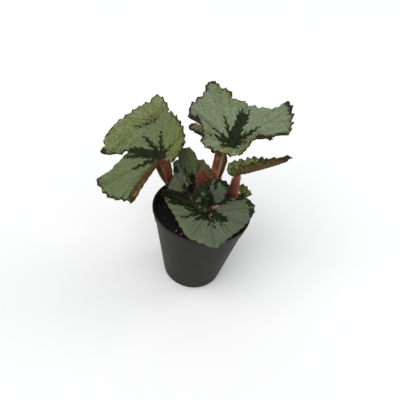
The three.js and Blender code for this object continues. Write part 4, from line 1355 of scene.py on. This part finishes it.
def soil(material):
    """Uneven soil surface that sinks a little at the pot's wall, closed below by the pot's inside."""
    rings, segments = 60, 220
    inner = wall_radius(SOIL_LEVEL) + COLLAR_STEP - WALL - 0.35
    points = [(0, 0, soil_height(0, 0))]
    for ring in range(1, rings + 1):
        sink = 0.5 * smoothstep(0.9, 1, ring / rings)
        for x, y, _ in circle(inner * ring / rings, 0, segments):
            points.append((x, y, soil_height(x, y) - sink))
    for z in (POT_HEIGHT - COLLAR_HEIGHT - 2, POT_FLOOR + 0.3):
        points += circle(wall_radius(z) - WALL - 0.4, z, segments)
    base = len(points)
    points.append((0, 0, POT_FLOOR + 0.3))
    faces = []

    def at(ring, k):
        return 0 if ring == 0 else 1 + (ring - 1) * segments + k % segments

    for k in range(segments):
        faces.append((0, at(1, k), at(1, k + 1)))
        for ring in range(1, rings + 2):
            faces.append((at(ring, k), at(ring + 1, k), at(ring + 1, k + 1), at(ring, k + 1)))
        faces.append((base, at(rings + 2, k + 1), at(rings + 2, k)))
    return build("peat", points, faces, [material])


OCTAHEDRON = [(1, 0, 0), (-1, 0, 0), (0, 1, 0), (0, -1, 0), (0, 0, 1), (0, 0, -1)]
OCTAHEDRON_FACES = [
    (0, 2, 4), (2, 1, 4), (1, 3, 4), (3, 0, 4), (2, 0, 5), (1, 2, 5), (3, 1, 5), (0, 3, 5),
]


def pebble(soup, centre, size, flatness=0.7):
    """Small angular lump: an octahedron split once, each corner moved by a random draw."""
    corners = [np.array(p, dtype=float) for p in OCTAHEDRON]
    faces = []
    middle = {}

    def between(a, b):
        key = (min(a, b), max(a, b))
        if key not in middle:
            corners.append(unit(corners[a] + corners[b]))
            middle[key] = len(corners) - 1
        return middle[key]

    for a, b, c in OCTAHEDRON_FACES:
        ab, bc, ca = between(a, b), between(b, c), between(c, a)
        faces += [(a, ab, ca), (ab, b, bc), (ca, bc, c), (ab, bc, ca)]
    stretch = rng.uniform(0.6, 1.3, 3) * np.array([1, 1, flatness])
    turn = np.array(Matrix.Rotation(rng.uniform(0, 6.28), 3, "Z"))
    points = [turn @ (p * stretch * rng.uniform(0.75, 1.15)) * size + centre for p in corners]
    soup.add(points, faces)


def random_place(limit):
    """A place on the soil, drawn evenly over the disc within the limit."""
    r = limit * math.sqrt(rng.random())
    angle = rng.uniform(0, 2 * math.pi)
    return r * math.cos(angle), r * math.sin(angle)


def root_fibre(soup, limit):
    """Short bent fibre on the soil, left out where it would reach the pot's wall."""
    x, y = random_place(limit)
    heading = rng.uniform(0, 2 * math.pi)
    reach = rng.uniform(1.2, 3.2)
    step = np.array([math.cos(heading), math.sin(heading), rng.uniform(-0.1, 0.35)]) * reach
    start = np.array([x, y, soil_height(x, y) + 0.25])
    path = np.array([start, start + step * 0.5 + [0, 0, 0.15], start + step])
    if np.hypot(*path[-1][:2]) < limit:
        tube(soup, path, np.full((3, 5), 0.16), 5, 1)


def soil_crumbs(crumb, fibre):
    """Loose crumbs and root fibres all over the soil, and a few crumbs on the pot's rim."""
    soup = Soup()
    limit = RIM_RADIUS - WALL - 1.2
    for _ in range(CRUMBS):
        x, y = random_place(limit)
        size = 0.3 + 0.75 * rng.random() ** 3
        pebble(soup, np.array([x, y, soil_height(x, y) + size * 0.1]), size)
    edge_crumb = np.array([-26.6, -12.6, 55.0])
    for shift in ((0, 0, 0.3), (0.9, -1.0, 0.1), (-0.7, 0.8, 0.2)):
        pebble(soup, edge_crumb + np.array(shift), 0.9)
    for _ in range(FIBRES):
        root_fibre(soup, limit)
    return soup.piece("peat_crumbs", [crumb, fibre], sharp=30)


def perlite_grains(material):
    soup = Soup()
    places = [(-12.2, -21.8, 0.55), (-9.0, -24.5, 0.3), (-22, -4, 0.25), (15, 20, 0.5), (-5, 21, 0.45)]
    for x, y, size in places:
        pebble(soup, np.array([x, y, soil_height(x, y) + size * 0.5]), size, 0.9)
    return soup.piece("perlite", [material], sharp=30)


# ---------------------------------------------------------------- assembly

silver_top = leaf_top_material("silver_leaf", SILVER)
pale_top = leaf_top_material("pale_leaf", (0.235, 0.28, 0.145))
lime_top = leaf_top_material("lime_leaf", (0.135, 0.175, 0.088))
dusky_top = leaf_top_material("dusky_leaf", (0.118, 0.147, 0.085), edge_tint=RIM_GREEN)
# partly painted shade: darker silver for the two small leaves deep in the plant's middle
shaded_centre_top = leaf_top_material("centre_leaf_shaded", (0.082, 0.1, 0.08), edge_tint=RIM_GREEN)
# partly painted shade: the front leaf's silver is darker than the others' for the shade it lies in under the
# upper leaves
shaded_front_top = leaf_top_material("front_leaf_shaded", (0.106, 0.125, 0.09), 0.6, RIM_GREEN)
back_top = leaf_top_material("back_leaf", (0.105, 0.115, 0.075), 0.1, RIM_GREEN)
# partly painted light: the folded leaf's upper side is much brighter than its own green, for light shining
# through the blade
glowing_folded_top = leaf_top_material("folded_leaf_glow", (0.4, 0.46, 0.18), 0.4, RUST)
brown_under = leaf_under_material(
    "leaf_underside", (0.085, 0.06, 0.022), (0.065, 0.026, 0.012), (0.065, 0.056, 0.012), 0.5
)
amber_under = leaf_under_material(
    "amber_underside", (0.26, 0.15, 0.06), (0.08, 0.045, 0.015), (0.19, 0.14, 0.04), 0.85
)
red_under = leaf_under_material(
    "red_underside", (0.17, 0.14, 0.05), (0.1, 0.058, 0.022), (0.15, 0.135, 0.04), 0.6
)
edge_hair = hair_material("edge_bristles", (0.06, 0.024, 0.017), (0.14, 0.07, 0.05))
stalk_hair = hair_material("stalk_bristles", (0.2, 0.06, 0.04), (0.36, 0.19, 0.13))
bud_hair = hair_material("young_bristles", (0.2, 0.05, 0.025), (0.4, 0.19, 0.12))
red_stalk = stalk_material("red_stalk", (0.11, 0.028, 0.009), (0.42, 0.24, 0.14), (0.1, 0.045, 0.013))
shaded_stalk = stalk_material("shaded_stalk", (0.04, 0.014, 0.007), (0.07, 0.035, 0.02), (0.03, 0.018, 0.007))
rosy_stalk = stalk_material("rosy_stalk", (0.2, 0.055, 0.028), (0.32, 0.14, 0.09), (0.16, 0.075, 0.03))
dark_stalk = stalk_material("dark_stalk", (0.11, 0.024, 0.008), (0.17, 0.06, 0.025), (0.09, 0.035, 0.011))
olive_stalk = stalk_material("olive_stalk", (0.12, 0.055, 0.014), (0.19, 0.11, 0.035), (0.08, 0.056, 0.01))
young_skin = stalk_material("young_skin", (0.12, 0.028, 0.013), (0.2, 0.07, 0.04), (0.08, 0.03, 0.012))
peat = soil_material()
fibre = soil_material("root_fibres", (0.03, 0.018, 0.01), (0.09, 0.055, 0.03))
papery = scale_material()

BLADE_LOOKS = {
    "top": (silver_top, brown_under, "blade_silver"),
    "behind_top": (silver_top, brown_under, "blade_green"),
    "left_front": (lime_top, amber_under, "blade_silver"),
    "left_back": (pale_top, brown_under, "blade_green"),
    "front": (shaded_front_top, brown_under, "blade_silver"),
    "right_folded": (glowing_folded_top, red_under, "blade_red_backed"),
    "back_middle": (dusky_top, brown_under, "blade_green"),
    "back_left": (back_top, brown_under, "blade_silver"),
    "centre_right": (shaded_centre_top, brown_under, "blade_silver"),
    "centre_left": (shaded_centre_top, brown_under, "blade_silver"),
    "right_small": (lime_top, brown_under, "blade_green"),
}
STALK_LOOKS = {
    "top": red_stalk,
    "behind_top": olive_stalk,
    "left_back": olive_stalk,
    "right_folded": rosy_stalk,
    "left_front": dark_stalk,
}

for key, leaf in LEAVES.items():
    top, under, slot = BLADE_LOOKS[key]
    piece = blade("leaf_" + key, leaf, PAINT[key], top, under, edge_hair)
    settle(piece, slot, "blade_" + key)
    skin = STALK_LOOKS.get(key, shaded_stalk)
    stem = stalk("petiole_" + key, leaf, skin, stalk_hair, 0.8)
    settle(stem, "stalk_olive" if skin is olive_stalk else "stalk_red", "stalk_" + key)

settle(young_leaf(young_skin, bud_hair), "bud", "leaf_bud")
settle(rhizome(rhizome_material()), "rhizome", "rhizome")
settle(papery_scales(papery, young_skin), "rhizome")
settle(pot(pot_material()), "pot", "pot")
settle(soil(peat), "soil", "soil")
settle(soil_crumbs(peat, fibre), "soil")
settle(perlite_grains(perlite_material()), "soil")

# ---------------------------------------------------------------- floor, light and camera


FLOOR_HALF = 4.0
FLOOR_LEVEL = -0.0002
FLOOR_GREYS = (0.96, 0.96, 0.96), (0.98, 0.98, 0.98)
SKY_COLOUR = (0.97, 0.985, 1.0, 1)
SKY_STRENGTH = 0.58


def floor():
    """Plain pale floor that the pot stands on."""
    mesh = bpy.data.meshes.new("floor")
    signs = ((-1, -1), (1, -1), (1, 1), (-1, 1))
    corners = [(x * FLOOR_HALF, y * FLOOR_HALF, FLOOR_LEVEL) for x, y in signs]
    mesh.from_pydata(corners, [], [(0, 1, 2, 3)])
    g = Graph("pale_floor", Specular_IOR_Level=0.2)
    cloud = g.noise(g.object_place(), 12.0, 3.0)
    mesh.materials.append(g.finish(g.mix(cloud, *FLOOR_GREYS), 0.8))
    piece = bpy.data.objects.new("floor", mesh)
    bpy.context.scene.collection.objects.link(piece)


def sun_light(name, heading, elevation, strength, spread, colour):
    """Broad light from a compass heading (0 is +X, counted towards +Y) and a height above the floor."""
    data = bpy.data.lights.new(name, "SUN")
    data.energy = strength
    data.angle = math.radians(spread)
    data.color = colour
    lamp = bpy.data.objects.new(name, data)
    h, e = math.radians(heading), math.radians(elevation)
    source = Vector((math.cos(h) * math.cos(e), math.sin(h) * math.cos(e), math.sin(e)))
    lamp.rotation_euler = (-source).to_track_quat("-Z", "Y").to_euler()
    bpy.context.scene.collection.objects.link(lamp)


def sky():
    world = bpy.data.worlds.new("studio")
    world.use_nodes = True
    background = world.node_tree.nodes["Background"]
    background.inputs["Color"].default_value = SKY_COLOUR
    background.inputs["Strength"].default_value = SKY_STRENGTH
    bpy.context.scene.world = world


# The photograph was taken from CAMERA_REACH away, looking down and turned a little to one side.
CAMERA_ELEVATION = math.radians(39)
CAMERA_ROLL = math.radians(9.6)
CAMERA_REACH = 0.2
CAMERA_AIM = Vector((0, 0, POT_HEIGHT * MM))
CAMERA_SLIDE = (0.0013, -0.0039)
FOCAL_PIXELS = 330.0
IMAGE_PIXELS = 400.0


def camera():
    """Camera at the photograph's viewing angle."""
    forward = Vector((0, math.cos(CAMERA_ELEVATION), -math.sin(CAMERA_ELEVATION)))
    up = Vector((0, math.sin(CAMERA_ELEVATION), math.cos(CAMERA_ELEVATION)))
    right = Vector((1, 0, 0))
    rolled_right = right * math.cos(CAMERA_ROLL) + up * math.sin(CAMERA_ROLL)
    rolled_up = up * math.cos(CAMERA_ROLL) - right * math.sin(CAMERA_ROLL)
    data = bpy.data.cameras.new("camera")
    data.sensor_width = 36.0
    data.lens = data.sensor_width * FOCAL_PIXELS / IMAGE_PIXELS
    data.clip_start = 0.01
    data.clip_end = 20.0
    eye = bpy.data.objects.new("camera", data)
    slide = rolled_right * CAMERA_SLIDE[0] + rolled_up * CAMERA_SLIDE[1]
    eye.location = CAMERA_AIM - forward * CAMERA_REACH - slide
    turn = Matrix((rolled_right, rolled_up, -forward)).transposed()
    eye.rotation_euler = turn.to_euler()
    bpy.context.scene.collection.objects.link(eye)
    bpy.context.scene.camera = eye


floor()
camera()
sky()
sun_light("soft_top", heading=222, elevation=52, strength=1.6, spread=60, colour=(1.0, 0.995, 0.98))
sun_light("side_light", heading=30, elevation=35, strength=0.45, spread=30, colour=(1.0, 0.98, 0.96))
bpy.context.scene.view_settings.view_transform = "Standard"
